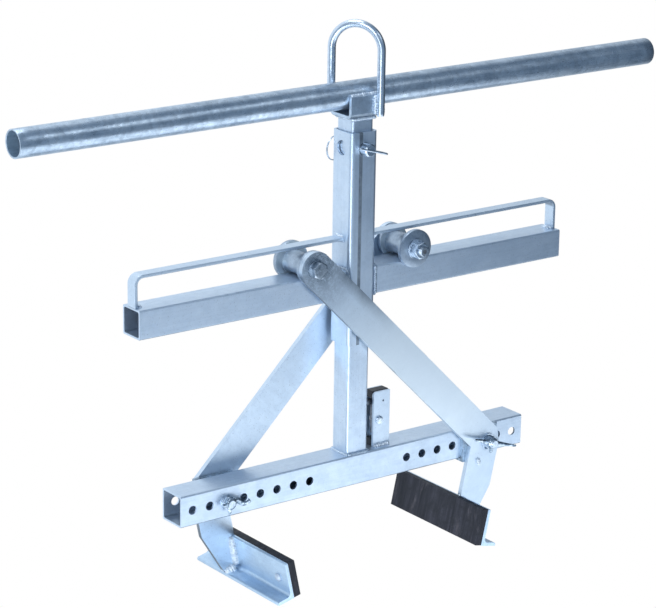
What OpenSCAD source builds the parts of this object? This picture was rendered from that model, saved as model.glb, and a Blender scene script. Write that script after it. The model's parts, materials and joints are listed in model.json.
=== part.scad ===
// Lifting tongs for kerb stones and slabs, hung from a hook by the loop.
// Millimetres, +Z up, X along the beams, -Y is the front.
// The frame's origin is the seat of the lifting loop, where the hook bears.

/* [Mast] */
// Outer width of the square sliding sleeve
sleeve_w = 50; // [46:0.5:54]
// Wall of the sleeve
sleeve_wall = 4; // [3:0.5:4.5]
// Outer corner radius of the sleeve
sleeve_r = 7; // [5:0.5:9]
// Height of the sleeve's lower end above the jaws' lowest edge
sleeve_z0 = 355; // [340:1:370]
// Height of the sleeve's upper end
sleeve_z1 = 690; // [670:1:710]
// Outer width of the inner mast and of the post
inner_w = 40; // [36:0.5:41]
// Wall of the inner mast and of the post
inner_wall = 3; // [2:0.5:5]
// Outer corner radius of the inner mast
inner_r = 5; // [4:0.5:7]
// Height of the post's lower end
post_z0 = 634; // [615:1:640]
// Downward travel of the sleeve on the inner mast
stroke = 120; // [100:1:125]
// Gap left between the post and the inner mast at full travel
mast_gap = 8; // [4:1:20]

/* [Crossbars] */
// Outer width of the square crossbars
bar_w = 45; // [40:0.5:48]
// Wall of the crossbars
bar_wall = 3; // [2:0.5:5]
// Outer corner radius of the crossbars
bar_r = 6; // [5:0.5:9]
// Height of the crossbar centre line
bar_z = 454; // [445:1:465]
// Distance from the mast's axis to the crossbar ends
bar_x = 402; // [380:1:430]

/* [Guards] */
// Width of the guard's flat bar
guard_w = 20; // [15:1:25]
// Thickness of the guard's flat bar
guard_t = 5; // [4:0.5:7]
// Outer bend radius of the guard
guard_r = 15; // [10:1:20]
// Height of the guard's top face
guard_z = 526; // [524:0.5:533]

/* [Handle] */
// Outer diameter of the handle tube
handle_d = 42.4; // [38:0.1:46]
// Wall of the handle tube
handle_wall = 2.6; // [2:0.1:4]
// Length of the handle tube
handle_len = 1185; // [1000:5:1400]
// Height of the handle tube's axis
handle_z = 745; // [743:0.5:753]
// Length of the U-shaped saddle along the tube
saddle_len = 57; // [50:1:70]
// Thickness of the saddle's floor and flanges
saddle_t = 5.5; // [4:0.5:7]
// Height of the saddle's underside
saddle_z0 = 712; // [705:0.5:714]
// Height of the saddle's flange tops
saddle_z1 = 747; // [737:0.5:753]
// Outer corner radius of the saddle's two bends
saddle_r = 9; // [7:0.5:12]
// Side gap between the tube and each flange
saddle_gap = 0.1; // [0.05:0.05:0.5]

/* [Lifting loop] */
// Diameter of the loop's round bar
loop_d = 12.5; // [10:0.5:16]
// Distance of each leg from the mast's axis along the handle
loop_x = 22; // [15:0.5:26]
// Height of the lower ends of the legs
loop_z0 = 714; // [707:1:722]
// Clear height in the loop, from the handle tube to the loop's inner side
loop_clear = 79.8; // [65:0.1:95]

/* [Locking pin] */
// Height of the locking pin
pin_z = 664.5; // [655:0.5:672]
// Diameter of the locking pin
pin_d = 20; // [16:0.5:22]
// Radial clearance of the pin in its bores
pin_gap = 0.4; // [0.1:0.05:1]
// Diameter of the open cross bore in the mast
cross_d = 23; // [18:0.5:26]
// Length of the pin standing out at the front
pin_front = 16; // [13:0.5:20]
// Distance from the mast's face to the clip
clip_y = 9; // [6:0.5:10]
// Wire diameter of the clip
clip_d = 3.2; // [2.5:0.1:4]
// Droop of the clip in degrees
clip_tilt = 16; // [0:1:30]
// Radius of the clip's bend
clip_bend = 2.9; // [2.2:0.1:3]
// Diameter of the ring seat at the pin's rear
neck_d = 11; // [10:0.5:14]
// Length of the ring seat behind the mast
neck_len = 17; // [14:0.5:20]
// Mean radius of the pin ring
ring_r = 18.5; // [16:0.5:21]
// Wire diameter of the pin ring
ring_d = 2.8; // [2:0.1:3.4]
// Swing of the ring towards the mast in degrees
ring_swing = 17; // [0:1:18]

/* [Beam] */
// Outer width of the square beam
beam_w = 50; // [46:0.5:52]
// Wall of the beam
beam_wall = 3; // [2:0.5:5]
// Outer corner radius of the beam
beam_r = 6; // [5:0.5:9]
// Length of the beam
beam_len = 665; // [655:1:680]
// Height of the beam's centre line
beam_z = 150; // [149:0.5:152]
// Distance from the mast's axis to a pivot
pivot_x = 250; // [249:0.5:251]
// Spacing of the beam's adjusting holes
hole_step = 31; // [29:0.5:31]
// Holes on each side inside the pivot
holes_in = 5; // [3:1:5]
// Holes on each side outside the pivot
holes_out = 2; // [1:1:2]
// Diameter of the adjusting holes
hole_d = 14; // [13:0.1:15]
// Running clearance round the pivot bolts, a side
pivot_gap = 0.05; // [0.02:0.01:0.1]

/* [Arms] */
// Thickness of the arm plates
arm_t = 8; // [6:0.5:10]
// Width of the diagonal part of the arm
arm_w = 54.5; // [52:0.5:58]
// Distance from the mast's plane to the arm's inner face
arm_y = 32; // [31:0.5:33]
// Distance of a roller from the mast's axis
roller_x = 98; // [94:1:104]
// Lean of the shank and jaw in degrees
lean = 12.5; // [10:0.5:14]
// Distance from the pivot to the shank's outer edge
shank_out = 23.4; // [22:0.2:25]
// Distance from the pivot to the shank's inner edge
shank_in = 34; // [32:0.5:36]
// Thickness of the spacer shoe between beam and arm
shoe_t = 6.8; // [6:0.1:6.9]
// Reach of the shoe inside and outside the pivot
shoe_in = 45; // [40:1:50]
// Reach of the shoe outside the pivot
shoe_out = 25; // [20:1:28]
// Thickness of the shoe's lip under the beam
lip_t = 5; // [4:0.5:6]
// Depth of the shoe's lip under the beam
lip_y = 26; // [18:1:30]

/* [Jaws] */
// Length of the jaws along Y
jaw_len = 220; // [180:2:260]
// Thickness of the jaw angle's legs
jaw_t = 5.5; // [4:0.5:7]
// Height of the jaw angle
jaw_h = 61; // [56:0.5:64]
// Width of the jaw angle's foot
jaw_foot = 30; // [26:0.5:34]
// Distance below the pivot of the foot's underside
jaw_w0 = 154.5; // [150:0.5:158]
// Thickness of the rubber pads
pad_t = 12; // [8:0.5:15]
// Height of the rubber pads
pad_h = 60; // [54:0.5:62]
// Distance of the pad screws from the jaw's middle
screw_y = 95; // [80:1:100]
// Diameter of the pad screws
screw_d = 6; // [5:0.5:8]
// Diameter of the screw heads
screw_head = 10; // [9:0.5:12]

/* [Rollers] */
// Diameter of the roller barrel
barrel_d = 35; // [30:0.5:38]
// Gap between the barrel and the crossbar at rest
roll_gap = 0.3; // [0.2:0.05:1]
// Diameter of the disc on the roller's free side
disc_d = 60; // [55:0.5:66]
// Diameter of the disc beside the arm
near_disc_d = 53; // [45:0.5:54]
// Half of the width between the discs
disc_y = 24; // [23.5:0.5:25]
// Side gap between a disc and the arm
side_gap = 0.2; // [0.1:0.05:0.5]
// Outer diameter of the roller bush
bush_d = 20; // [18:0.5:24]
// Running clearance round the roller bush, a side
bush_gap = 0.05; // [0.02:0.01:0.1]
// Diameter of the roller bolt
bolt_d = 16; // [12:1:16]
// Radial gap between bolts and the plates they clamp
bolt_gap = 0.3; // [0.1:0.05:0.5]
// Width across flats of the roller bolt's head
bolt_af = 24; // [20:1:27]

/* [Pivot clamps] */
// Width across flats of the pivot bolt's head
pivot_af = 21; // [19:1:24]
// Height of the pivot bolt's head
pivot_head = 8.5; // [6:0.5:10]
// Diameter of the wing nut's hub
wing_d = 19; // [17:0.5:22]
// Height of the wing nut's hub
wing_h = 15; // [12:0.5:18]
// Length of the wing nut's horn
horn_len = 39; // [36:1:56]
// Clearance round the bolt inside the wing nut, a side
thread_gap = 0.1; // [0.05:0.05:0.3]

/* [Latch] */
// Distance from the mast's axis to the latch cheeks
latch_x0 = 37; // [36:0.5:40]
// Length of the latch cheeks along the beam
latch_len = 32; // [30:0.5:36]
// Half of the latch's width
latch_y = 12; // [11:0.5:14]
// Thickness of the latch cheeks
latch_t = 4; // [3:0.5:4.5]
// Height of the latch cheeks
latch_h = 90; // [86:1:96]
// Distance from the cheeks' near edge to the hook's pivot
hook_x = 11; // [10:0.5:13]
// Height of the hook's pivot above the beam
hook_z = 43; // [40:0.5:46]
// Diameter of the hook's pivot pin
hook_d = 8; // [6:0.5:9]
// Running clearance round the hook's pin, a side
hook_gap = 0.05; // [0.02:0.01:0.1]
// Distance of the hook's nose from the mast's axis at rest
nose_x = 27; // [26.5:0.5:29]
// Height of the catch window in the sleeve
window_h = 14; // [13:0.5:15]

/* [Hidden] */
$fn = 96;
pivot_z = beam_z;
roller_z = bar_z + bar_w / 2 + roll_gap + barrel_d / 2;
loop_y = handle_d / 2 + saddle_gap + saddle_t + loop_d / 2;
loop_r = sqrt(loop_x * loop_x + loop_y * loop_y);
loop_turn = atan2(loop_y, loop_x);
loop_top = handle_z + handle_d / 2 + loop_clear + loop_d;
loop_c = loop_top - loop_d / 2 - loop_r;
seat_z = loop_top - loop_d;
inner_top = post_z0 - stroke - mast_gap;
arm_dx = pivot_x + roller_x;
arm_dz = roller_z - pivot_z;
arm_l = sqrt(arm_dx * arm_dx + arm_dz * arm_dz);
arm_rise = atan2(arm_dz, arm_dx);
foot_w1 = jaw_w0 - jaw_t;
jaw_top = jaw_w0 - jaw_h;
pad_face = shank_in + pad_t;
pivot_bolt_r = hole_d / 2 - pivot_gap;
beam_top = beam_z + beam_w / 2;
latch_z0 = beam_top;
latch_z1 = beam_top + latch_h;
hook_px = latch_x0 + hook_x;
hook_pz = beam_top + hook_z;
nose_z = hook_pz + 29;
window_z = nose_z + stroke;
cap_z0 = latch_z1 - 11;
arm_out = arm_y + arm_t;
pin_y = sleeve_w / 2;
eps = 0.01;
arm_steps = 36;
horn_steps = 16;

// Moves a piece from heights above the jaws' lowest edge to the frame
module hung() {
  translate([0, 0, -seat_z]) children();
}

// Square with four rounded corners, centred
module rounded(w, r) {
  square([w - 2 * r, w], center = true);
  square([w, w - 2 * r], center = true);
  for (x = [-1, 1], y = [-1, 1])
    translate([x * (w / 2 - r), y * (w / 2 - r)]) circle(r = r);
}

// Section of a square tube
module tube_section(w, wall, r) {
  difference() {
    rounded(w, r);
    rounded(w - 2 * wall, max(r - wall, 1));
  }
}

// Square tube standing along Z
module tube_up(w, wall, r, z0, z1) {
  translate([0, 0, z0]) linear_extrude(z1 - z0) tube_section(w, wall, r);
}

// Square tube lying along X
module tube_along(w, wall, r, x0, x1, z) {
  translate([x0, 0, z]) rotate([90, 0, 90]) linear_extrude(x1 - x0) tube_section(w, wall, r);
}

// Round bar along Y between two depths
module bar_y(r, x, z, y0, y1) {
  translate([x, y0, z]) rotate([-90, 0, 0]) cylinder(r = r, h = y1 - y0);
}

// Hexagon along Y between two depths
module hex_y(af, x, z, y0, y1) {
  translate([x, y0, z]) rotate([-90, 0, 0]) cylinder(r = af / sqrt(3), h = y1 - y0, $fn = 6);
}

// Round cone along Y between two depths
module cone_y(r0, r1, x, z, y0, y1) {
  translate([x, y0, z]) rotate([-90, 0, 0]) cylinder(r1 = r0, r2 = r1, h = y1 - y0);
}

// Turns a piece made for the right side and the front to the left side and the back
module turned() {
  rotate([0, 0, 180]) children();
}

// Places a flat shape drawn in X and Z as a plate between two depths
module plate_y(y0, y1) {
  translate([0, y1, 0]) rotate([90, 0, 0]) linear_extrude(y1 - y0) children();
}

// Moves a shape drawn round the pivot, upright, to the leaning right jaw
module at_jaw() {
  translate([pivot_x, 0, pivot_z]) rotate([0, lean, 0]) children();
}

// Sliding sleeve with the pin bores and the catch window
module outer_mast() {
  color([0.72, 0.75, 0.78]) hung() difference() {
    tube_up(sleeve_w, sleeve_wall, sleeve_r, sleeve_z0, sleeve_z1);
    bar_y(pin_d / 2 + pin_gap, 0, pin_z, -sleeve_w, sleeve_w);
    translate([-sleeve_w, 0, pin_z]) rotate([0, 90, 0]) cylinder(d = cross_d, h = 2 * sleeve_w);
    translate([sleeve_w / 2 - sleeve_wall - 1, -7, window_z - window_h / 2])
      cube([sleeve_wall + 2, 14, window_h]);
  }
}

// Crossbar on the right of the sleeve
module right_crossbar() {
  color([0.72, 0.75, 0.78]) hung()
    tube_along(bar_w, bar_wall, bar_r, sleeve_w / 2, bar_x, bar_z);
}

// Crossbar on the left of the sleeve
module left_crossbar() {
  color([0.72, 0.75, 0.78]) hung()
    tube_along(bar_w, bar_wall, bar_r, -bar_x, -sleeve_w / 2, bar_z);
}

// Flat bar bent down at its outer end, right side
module guard_shape() {
  z0 = bar_z + bar_w / 2;
  translate([bar_x - guard_t, -guard_w / 2, z0]) cube([guard_t, guard_w, guard_z - guard_r - z0]);
  translate([sleeve_w / 2, -guard_w / 2, guard_z - guard_t])
    cube([bar_x - guard_r - sleeve_w / 2, guard_w, guard_t]);
  translate([bar_x - guard_r, guard_w / 2, guard_z - guard_r]) rotate([90, 0, 0])
    rotate_extrude(angle = 90) translate([guard_r - guard_t, 0]) square([guard_t, guard_w]);
}

// Guard bar over the right roller
module right_guard() {
  color([0.75, 0.78, 0.8]) hung() guard_shape();
}

// Guard bar over the left roller
module left_guard() {
  color([0.75, 0.78, 0.8]) hung() turned() guard_shape();
}

// Square post that carries the handle and is pinned in the sleeve
module post() {
  color([0.72, 0.75, 0.78]) hung() difference() {
    tube_up(inner_w, inner_wall, inner_r, post_z0, saddle_z0);
    bar_y(pin_d / 2 + pin_gap, 0, pin_z, -sleeve_w, sleeve_w);
  }
}

// U-shaped saddle, open upwards, under the handle tube
module handle_saddle() {
  hy = handle_d / 2 + saddle_gap + saddle_t;
  ri = saddle_r - saddle_t;
  color([0.7, 0.73, 0.76]) hung() translate([-saddle_len / 2, 0, 0]) rotate([90, 0, 90])
    linear_extrude(saddle_len) difference() {
      union() {
        translate([-hy, saddle_z0 + saddle_r]) square([2 * hy, saddle_z1 - saddle_z0 - saddle_r]);
        translate([-hy + saddle_r, saddle_z0]) square([2 * (hy - saddle_r), 2 * saddle_r]);
        translate([hy - saddle_r, saddle_z0 + saddle_r]) circle(r = saddle_r);
        translate([-hy + saddle_r, saddle_z0 + saddle_r]) circle(r = saddle_r);
      }
      translate([-hy + saddle_t, saddle_z0 + saddle_r])
        square([2 * (hy - saddle_t), saddle_z1 - saddle_z0]);
      translate([-hy + saddle_r, saddle_z0 + saddle_t])
        square([2 * (hy - saddle_r), 2 * saddle_r]);
      translate([hy - saddle_r, saddle_z0 + saddle_r]) circle(r = ri);
      translate([-hy + saddle_r, saddle_z0 + saddle_r]) circle(r = ri);
    }
}

// Round handle tube, open at both ends
module handle_tube() {
  color([0.6, 0.66, 0.72]) hung() translate([-handle_len / 2, 0, handle_z]) rotate([0, 90, 0])
    difference() {
      cylinder(d = handle_d, h = handle_len);
      translate([0, 0, -1]) cylinder(d = handle_d - 2 * handle_wall, h = handle_len + 2);
    }
}

// Round bar bent to a U, its legs welded to the two flanges
module lifting_loop() {
  color([0.75, 0.78, 0.8]) hung() rotate([0, 0, -loop_turn]) {
    for (s = [-1, 1])
      translate([s * loop_r, 0, loop_z0]) cylinder(d = loop_d, h = loop_c - loop_z0);
    translate([0, 0, loop_c]) rotate([90, 0, 0]) rotate_extrude(angle = 180)
      translate([loop_r, 0]) circle(d = loop_d);
  }
}

// Pin through sleeve and post, with a cross hole for the clip and a neck for the ring
module locking_pin() {
  color([0.7, 0.72, 0.74]) hung() difference() {
    union() {
      bar_y(pin_d / 2, 0, pin_z, -pin_y - pin_front + 2, pin_y + 3);
      cone_y(pin_d / 2 - 2, pin_d / 2, 0, pin_z, -pin_y - pin_front, -pin_y - pin_front + 2);
      bar_y(neck_d / 2, 0, pin_z, pin_y + 2, pin_y + neck_len);
    }
    translate([0, -pin_y - clip_y, pin_z]) rotate([0, 90 + clip_tilt, 0])
      cylinder(d = clip_d + 0.6, h = 3 * pin_d, center = true);
    translate([0, pin_y + neck_len - 6, pin_z]) cylinder(r = ring_d / 2 + 1.6, h = 40, center = true);
  }
}

// Spring clip in the pin's front cross hole
module pin_clip() {
  hump = pin_d / 2 + clip_d / 2 + 0.3;
  color([0.62, 0.64, 0.66]) hung() translate([0, -pin_y - clip_y, pin_z]) rotate([0, clip_tilt, 0])
    {
      translate([-26, 0, 0]) rotate([0, 90, 0]) cylinder(d = clip_d, h = 54);
      translate([-26, 0, 0]) sphere(d = clip_d);
      translate([28, clip_bend, 0]) rotate([0, 0, -90]) rotate_extrude(angle = 180)
        translate([clip_bend, 0]) circle(d = clip_d);
      translate([hump, 2 * clip_bend, 0]) rotate([0, 90, 0]) cylinder(d = clip_d, h = 28 - hump);
      translate([hump, 2 * clip_bend, 0]) sphere(d = clip_d);
    }
}

// Ring in the pin's rear end
module pin_ring() {
  color([0.75, 0.77, 0.79]) hung() translate([0, pin_y + neck_len - 6, pin_z])
    rotate([0, 0, ring_swing]) translate([-ring_r, 0, 0]) rotate([90, 0, 0])
      rotate_extrude() translate([ring_r, 0]) circle(d = ring_d, $fn = 32);
}

// Lower beam with its row of adjusting holes
module beam() {
  color([0.72, 0.75, 0.78]) hung() difference() {
    tube_along(beam_w, beam_wall, beam_r, -beam_len / 2, beam_len / 2, beam_z);
    for (k = [-holes_in : holes_out], s = [-1, 1])
      bar_y(hole_d / 2, s * (pivot_x + hole_step * k), beam_z, -beam_w, beam_w);
  }
}

// Inner mast standing on the beam inside the sleeve
module inner_mast() {
  color([0.72, 0.75, 0.78]) hung() tube_up(inner_w, inner_wall, inner_r, beam_top, inner_top);
}

// Two cheek plates of the latch, standing on the beam
module latch_cheeks() {
  color([0.68, 0.7, 0.72]) hung() difference() {
    for (s = [-1, 1])
      translate([latch_x0, s * (latch_y - latch_t / 2) - latch_t / 2, latch_z0])
        cube([latch_len, latch_t, latch_h]);
    bar_y(hook_d / 2 + hook_gap, hook_px, hook_pz, -latch_y - 1, latch_y + 1);
    bar_y(1.5, latch_x0 + 19, latch_z1 - 16, -latch_y - 1, latch_y + 1);
  }
}

// Cap block between the cheeks' upper ends
module latch_cap() {
  color([0.06, 0.06, 0.06]) hung()
    translate([latch_x0 + 0.5, -latch_y + latch_t, cap_z0])
      cube([latch_len - 1, 2 * (latch_y - latch_t), 12]);
}

// Stop block between the cheeks' lower ends
module latch_stop() {
  color([0.12, 0.12, 0.12]) hung()
    translate([latch_x0, -latch_y + latch_t, latch_z0])
      cube([12, 2 * (latch_y - latch_t), 12]);
}

// Hook of the latch, with its nose towards the sleeve
module latch_hook() {
  w = 7;
  color([0.5, 0.52, 0.54]) hung() translate([0, -w / 2, 0]) difference() {
    plate_y(0, w) {
      translate([hook_px, hook_pz]) circle(r = hook_d / 2 + 4);
      polygon([[hook_px - 5, hook_pz - 24], [hook_px + 3, hook_pz - 24],
        [hook_px + 7, hook_pz], [hook_px + 6, hook_pz + 33], [hook_px - 3, hook_pz + 33],
        [nose_x, nose_z + 3], [nose_x + 1, nose_z - 3], [hook_px - 6, nose_z - 5],
        [hook_px - 7, hook_pz]]);
    }
    bar_y(hook_d / 2 + hook_gap, hook_px, hook_pz, -1, w + 1);
  }
}

// Pivot pin of the hook, headed at the front
module latch_pin() {
  color([0.78, 0.8, 0.82]) hung() {
    bar_y(hook_d / 2, hook_px, hook_pz, -latch_y, latch_y + 1.5);
    cone_y(6, 7.5, hook_px, hook_pz, -latch_y - 3, -latch_y - 1.2);
    bar_y(7.5, hook_px, hook_pz, -latch_y - 1.2, -latch_y);
    bar_y(5.5, hook_px, hook_pz, latch_y + 0.1, latch_y + 2);
  }
}

// Two wire springs beside the hook, coiled round its pin and seated on the stop block
module latch_spring() {
  r = hook_d / 2 + 0.4;
  ys = 3.5 + 1.6;
  color([0.55, 0.56, 0.58]) hung() for (s = [-1, 1]) {
    difference() {
      bar_y(r + 1.8, hook_px, hook_pz, s * ys - 0.9, s * ys + 0.9);
      bar_y(r, hook_px, hook_pz, s * ys - 2, s * ys + 2);
    }
    translate([hook_px - r - 1.6, s * ys - 0.8, latch_z0 + 12]) cube([1.6, 1.6, hook_z - 12]);
  }
}

// Spacer plate with a lip under the beam, for the right pivot at the front
module shoe_shape() {
  difference() {
    translate([pivot_x - shoe_in, -beam_w / 2 - shoe_t, beam_z - beam_w / 2 - lip_t])
      cube([shoe_in + shoe_out, shoe_t, beam_w + lip_t]);
    bar_y(hole_d / 2, pivot_x, pivot_z, -beam_w, 0);
  }
  translate([pivot_x - shoe_in, -beam_w / 2 - eps, beam_z - beam_w / 2 - lip_t])
    cube([shoe_in + shoe_out, lip_y, lip_t]);
}

// Spacer shoe behind the front arm
module front_shoe() {
  color([0.7, 0.73, 0.76]) hung() shoe_shape();
}

// Spacer shoe before the rear arm
module rear_shoe() {
  color([0.7, 0.73, 0.76]) hung() turned() shoe_shape();
}

// Point given across and along the leaning shank, in X and Z from the pivot
function leaned(u, w) = [u * cos(lean) + w * sin(lean), w * cos(lean) - u * sin(lean)];

// Point given along and across the diagonal of the right arm, from the pivot
function sloped(l, n) = [n * sin(arm_rise) - l * cos(arm_rise), n * cos(arm_rise) + l * sin(arm_rise)];

// Outline of the right arm
module arm_outline() {
  cross = sin(arm_rise) * cos(lean) - cos(arm_rise) * sin(lean);
  along = sin(arm_rise) * sin(lean) + cos(arm_rise) * cos(lean);
  inner_w0 = (shank_in * cross - arm_w / 2) / along;
  round_end = [for (i = [0 : arm_steps])
    sloped(arm_l + arm_w / 2 * sin(180 * i / arm_steps), -arm_w / 2 * cos(180 * i / arm_steps))];
  polygon(concat(round_end, [sloped(0, arm_w / 2), leaned(shank_out, 0),
    leaned(shank_out, -73), leaned(-2, -(foot_w1 - 6)), leaned(-6, -foot_w1),
    leaned(-shank_in + jaw_t, -foot_w1), leaned(-shank_in + jaw_t, -jaw_top),
    leaned(-shank_in, -jaw_top), leaned(-shank_in, inner_w0)]));
}

// Arm on the right pivot at the front, up to the roller on the left
module arm_shape() {
  difference() {
    translate([pivot_x, -arm_out, pivot_z]) plate_y(0, arm_t) arm_outline();
    bar_y(hole_d / 2, pivot_x, pivot_z, -arm_out - 1, -arm_y + 1);
    bar_y(bolt_d / 2 + bolt_gap, -roller_x, roller_z, -arm_out - 1, -arm_y + 1);
  }
}

// Arm at the front: right jaw, left roller
module front_arm() {
  color([0.66, 0.71, 0.76]) hung() arm_shape();
}

// Arm at the back: left jaw, right roller
module rear_arm() {
  color([0.66, 0.71, 0.76]) hung() turned() arm_shape();
}

// Angle section of the right jaw, with the pad screws' holes
module jaw_shape() {
  at_jaw() difference() {
    union() {
      translate([-shank_in, -jaw_len / 2, -jaw_w0]) cube([jaw_t, jaw_len, jaw_h]);
      translate([-shank_in, -jaw_len / 2, -jaw_w0]) cube([jaw_foot, jaw_len, jaw_t]);
    }
    for (s = [-1, 1])
      translate([-shank_in - 1, s * screw_y, -jaw_w0 + jaw_h / 2]) rotate([0, 90, 0])
        cylinder(d = screw_d + 0.4, h = jaw_t + 2);
  }
}

// Right jaw
module right_jaw() {
  color([0.72, 0.75, 0.78]) hung() jaw_shape();
}

// Left jaw
module left_jaw() {
  color([0.72, 0.75, 0.78]) hung() turned() jaw_shape();
}

// Rubber pad of the right jaw, with blind holes for its screws
module pad_shape() {
  at_jaw() difference() {
    translate([-pad_face, -jaw_len / 2, -jaw_w0 + jaw_h - pad_h])
      cube([pad_t, jaw_len, pad_h]);
    for (s = [-1, 1])
      translate([-shank_in - 7, s * screw_y, -jaw_w0 + jaw_h / 2]) rotate([0, 90, 0])
        cylinder(d = screw_d + 0.1, h = 10);
  }
}

// Rubber pad of the right jaw
module right_pad() {
  color([0.07, 0.065, 0.07]) hung() pad_shape();
}

// Rubber pad of the left jaw
module left_pad() {
  color([0.07, 0.065, 0.07]) hung() turned() pad_shape();
}

// Two round-headed screws of the right pad
module screws_shape() {
  at_jaw() for (s = [-1, 1])
    translate([-shank_in, s * screw_y, -jaw_w0 + jaw_h / 2]) rotate([0, 90, 0]) {
      translate([0, 0, -6.5]) cylinder(d = screw_d, h = 6.5 + jaw_t + 1);
      translate([0, 0, jaw_t]) cylinder(d = screw_head, h = 2);
      translate([0, 0, jaw_t + 2]) cylinder(d1 = screw_head, d2 = screw_head - 4, h = 2);
    }
}

// Screws of the right pad
module right_pad_screws() {
  color([0.7, 0.72, 0.74]) hung() screws_shape();
}

// Screws of the left pad
module left_pad_screws() {
  color([0.7, 0.72, 0.74]) hung() turned() screws_shape();
}

// Spool roller of the front arm, left of the mast
module roller_shape() {
  hy = arm_y - side_gap;
  difference() {
    union() {
      bar_y(barrel_d / 2, -roller_x, roller_z, -disc_y - 1, disc_y + 1);
      for (s = [-1, 1])
        bar_y((s > 0 ? disc_d : near_disc_d) / 2, -roller_x, roller_z,
          s * (disc_y + hy) / 2 - (hy - disc_y) / 2,
          s * (disc_y + hy) / 2 + (hy - disc_y) / 2);
    }
    bar_y(bush_d / 2 + bush_gap, -roller_x, roller_z, -hy - 1, hy + 1);
  }
}

// Left roller
module left_roller() {
  color([0.6, 0.62, 0.64]) hung() roller_shape();
}

// Right roller
module right_roller() {
  color([0.6, 0.62, 0.64]) hung() turned() roller_shape();
}

// Bush that the left roller runs on
module bush_shape() {
  difference() {
    bar_y(bush_d / 2, -roller_x, roller_z, -arm_y, arm_y);
    bar_y(bolt_d / 2 + bolt_gap, -roller_x, roller_z, -arm_y - 1, arm_y + 1);
  }
}

// Bush of the left roller
module left_bush() {
  color([0.7, 0.62, 0.42]) hung() bush_shape();
}

// Bush of the right roller
module right_bush() {
  color([0.7, 0.62, 0.42]) hung() turned() bush_shape();
}

// Hexagon bolt through arm and bush, with a centre mark in its far end
module roller_bolt_shape() {
  difference() {
    union() {
      bar_y(bolt_d / 2, -roller_x, roller_z, -arm_out - 2, arm_y + 22);
      bar_y(bolt_af / 2 + 3, -roller_x, roller_z, -arm_out - 2.5, -arm_out);
      hex_y(bolt_af, -roller_x, roller_z, -arm_out - 11.5, -arm_out - 2.4);
      cone_y(bolt_af / 2 - 1.5, bolt_af / 2 - 0.5, -roller_x, roller_z, -arm_out - 12.3,
        -arm_out - 11.4);
    }
    bar_y(3.5, -roller_x, roller_z, arm_y + 19, arm_y + 23);
  }
}

// Bolt of the left roller
module left_roller_bolt() {
  color([0.62, 0.64, 0.66]) hung() roller_bolt_shape();
}

// Bolt of the right roller
module right_roller_bolt() {
  color([0.62, 0.64, 0.66]) hung() turned() roller_bolt_shape();
}

// Washer and nut on the far end of the roller bolt
module roller_nut_shape() {
  difference() {
    union() {
      bar_y(bolt_af / 2 + 4, -roller_x, roller_z, arm_y, arm_y + 3);
      hex_y(bolt_af, -roller_x, roller_z, arm_y + 2.9, arm_y + 15.5);
      cone_y(bolt_af / 2 - 0.5, bolt_af / 2 - 1.5, -roller_x, roller_z, arm_y + 15.4,
        arm_y + 16.3);
    }
    bar_y(bolt_d / 2 + thread_gap, -roller_x, roller_z, arm_y - 1, arm_y + 18);
  }
}

// Nut of the left roller
module left_roller_nut() {
  color([0.66, 0.68, 0.7]) hung() roller_nut_shape();
}

// Nut of the right roller
module right_roller_nut() {
  color([0.66, 0.68, 0.7]) hung() turned() roller_nut_shape();
}

// Pivot bolt of the front arm, its head behind the beam
module front_pivot_bolt() {
  y1 = beam_w / 2;
  y0 = -arm_out - wing_h - 4;
  color([0.66, 0.68, 0.7]) hung() {
    bar_y(pivot_bolt_r, pivot_x, pivot_z, y0 + 1.5, y1 + 2);
    cone_y(pivot_bolt_r - 1.5, pivot_bolt_r, pivot_x, pivot_z, y0, y0 + 1.5);
    bar_y(pivot_af / 2 + 3, pivot_x, pivot_z, y1, y1 + 2.5);
    hex_y(pivot_af, pivot_x, pivot_z, y1 + 2.4, y1 + 2.5 + pivot_head);
  }
}

// Pivot bolt of the rear arm, its head behind the arm
module rear_pivot_bolt() {
  y0 = -beam_w / 2 - wing_h - 4;
  color([0.66, 0.68, 0.7]) hung() {
    bar_y(pivot_bolt_r, -pivot_x, pivot_z, y0 + 1.5, arm_out + 2);
    cone_y(pivot_bolt_r - 1.5, pivot_bolt_r, -pivot_x, pivot_z, y0, y0 + 1.5);
    bar_y(pivot_af / 2 + 3, -pivot_x, pivot_z, arm_out + 0.1, arm_out + 2.5);
    hex_y(pivot_af, -pivot_x, pivot_z, arm_out + 2.4, arm_out + 2.5 + pivot_head);
  }
}

// Point on the horn's centre line, in X and Z from the bolt
function horn_mid(t) = [horn_len * t + wing_d / 4, 5 * sin(200 * t) - 1.5 * t];

// Half of the horn's width along its length
function horn_half(t) = 5.4 - 3 * t;

// Outline of the horn, with a round tip
module horn_outline() {
  polygon(concat([for (i = [0 : horn_steps]) horn_mid(i / horn_steps)
      + [0, horn_half(i / horn_steps)]],
    [for (i = [1 : 11]) horn_mid(1) + horn_half(1) * [sin(15 * i), cos(15 * i)]],
    [for (i = [horn_steps : -1 : 0]) horn_mid(i / horn_steps)
      - [0, horn_half(i / horn_steps)]]));
}

// Outline of the short lobe below the hub
module lobe_outline() {
  polygon(concat([[-5, 0], [5, 0]],
    [for (i = [0 : 12]) [-0.5, -wing_d / 2 - 8] + 3.6 * [cos(15 * i), -sin(15 * i)]]));
}

// Wing nut with one long curved horn and one short lobe, face at y = 0
module wing_shape() {
  difference() {
    union() {
      bar_y(wing_d / 2 + 4, 0, 0, -2.5, 0);
      hex_y(wing_d, 0, 0, -8, -2.4);
      bar_y(wing_d / 2, 0, 0, -wing_h, -7.9);
      plate_y(-wing_h + 1, -wing_h + 7.5) horn_outline();
      plate_y(-wing_h + 1.2, -wing_h + 7.3) lobe_outline();
    }
    bar_y(pivot_bolt_r + thread_gap, 0, 0, -wing_h - 1, 1);
  }
}

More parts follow.
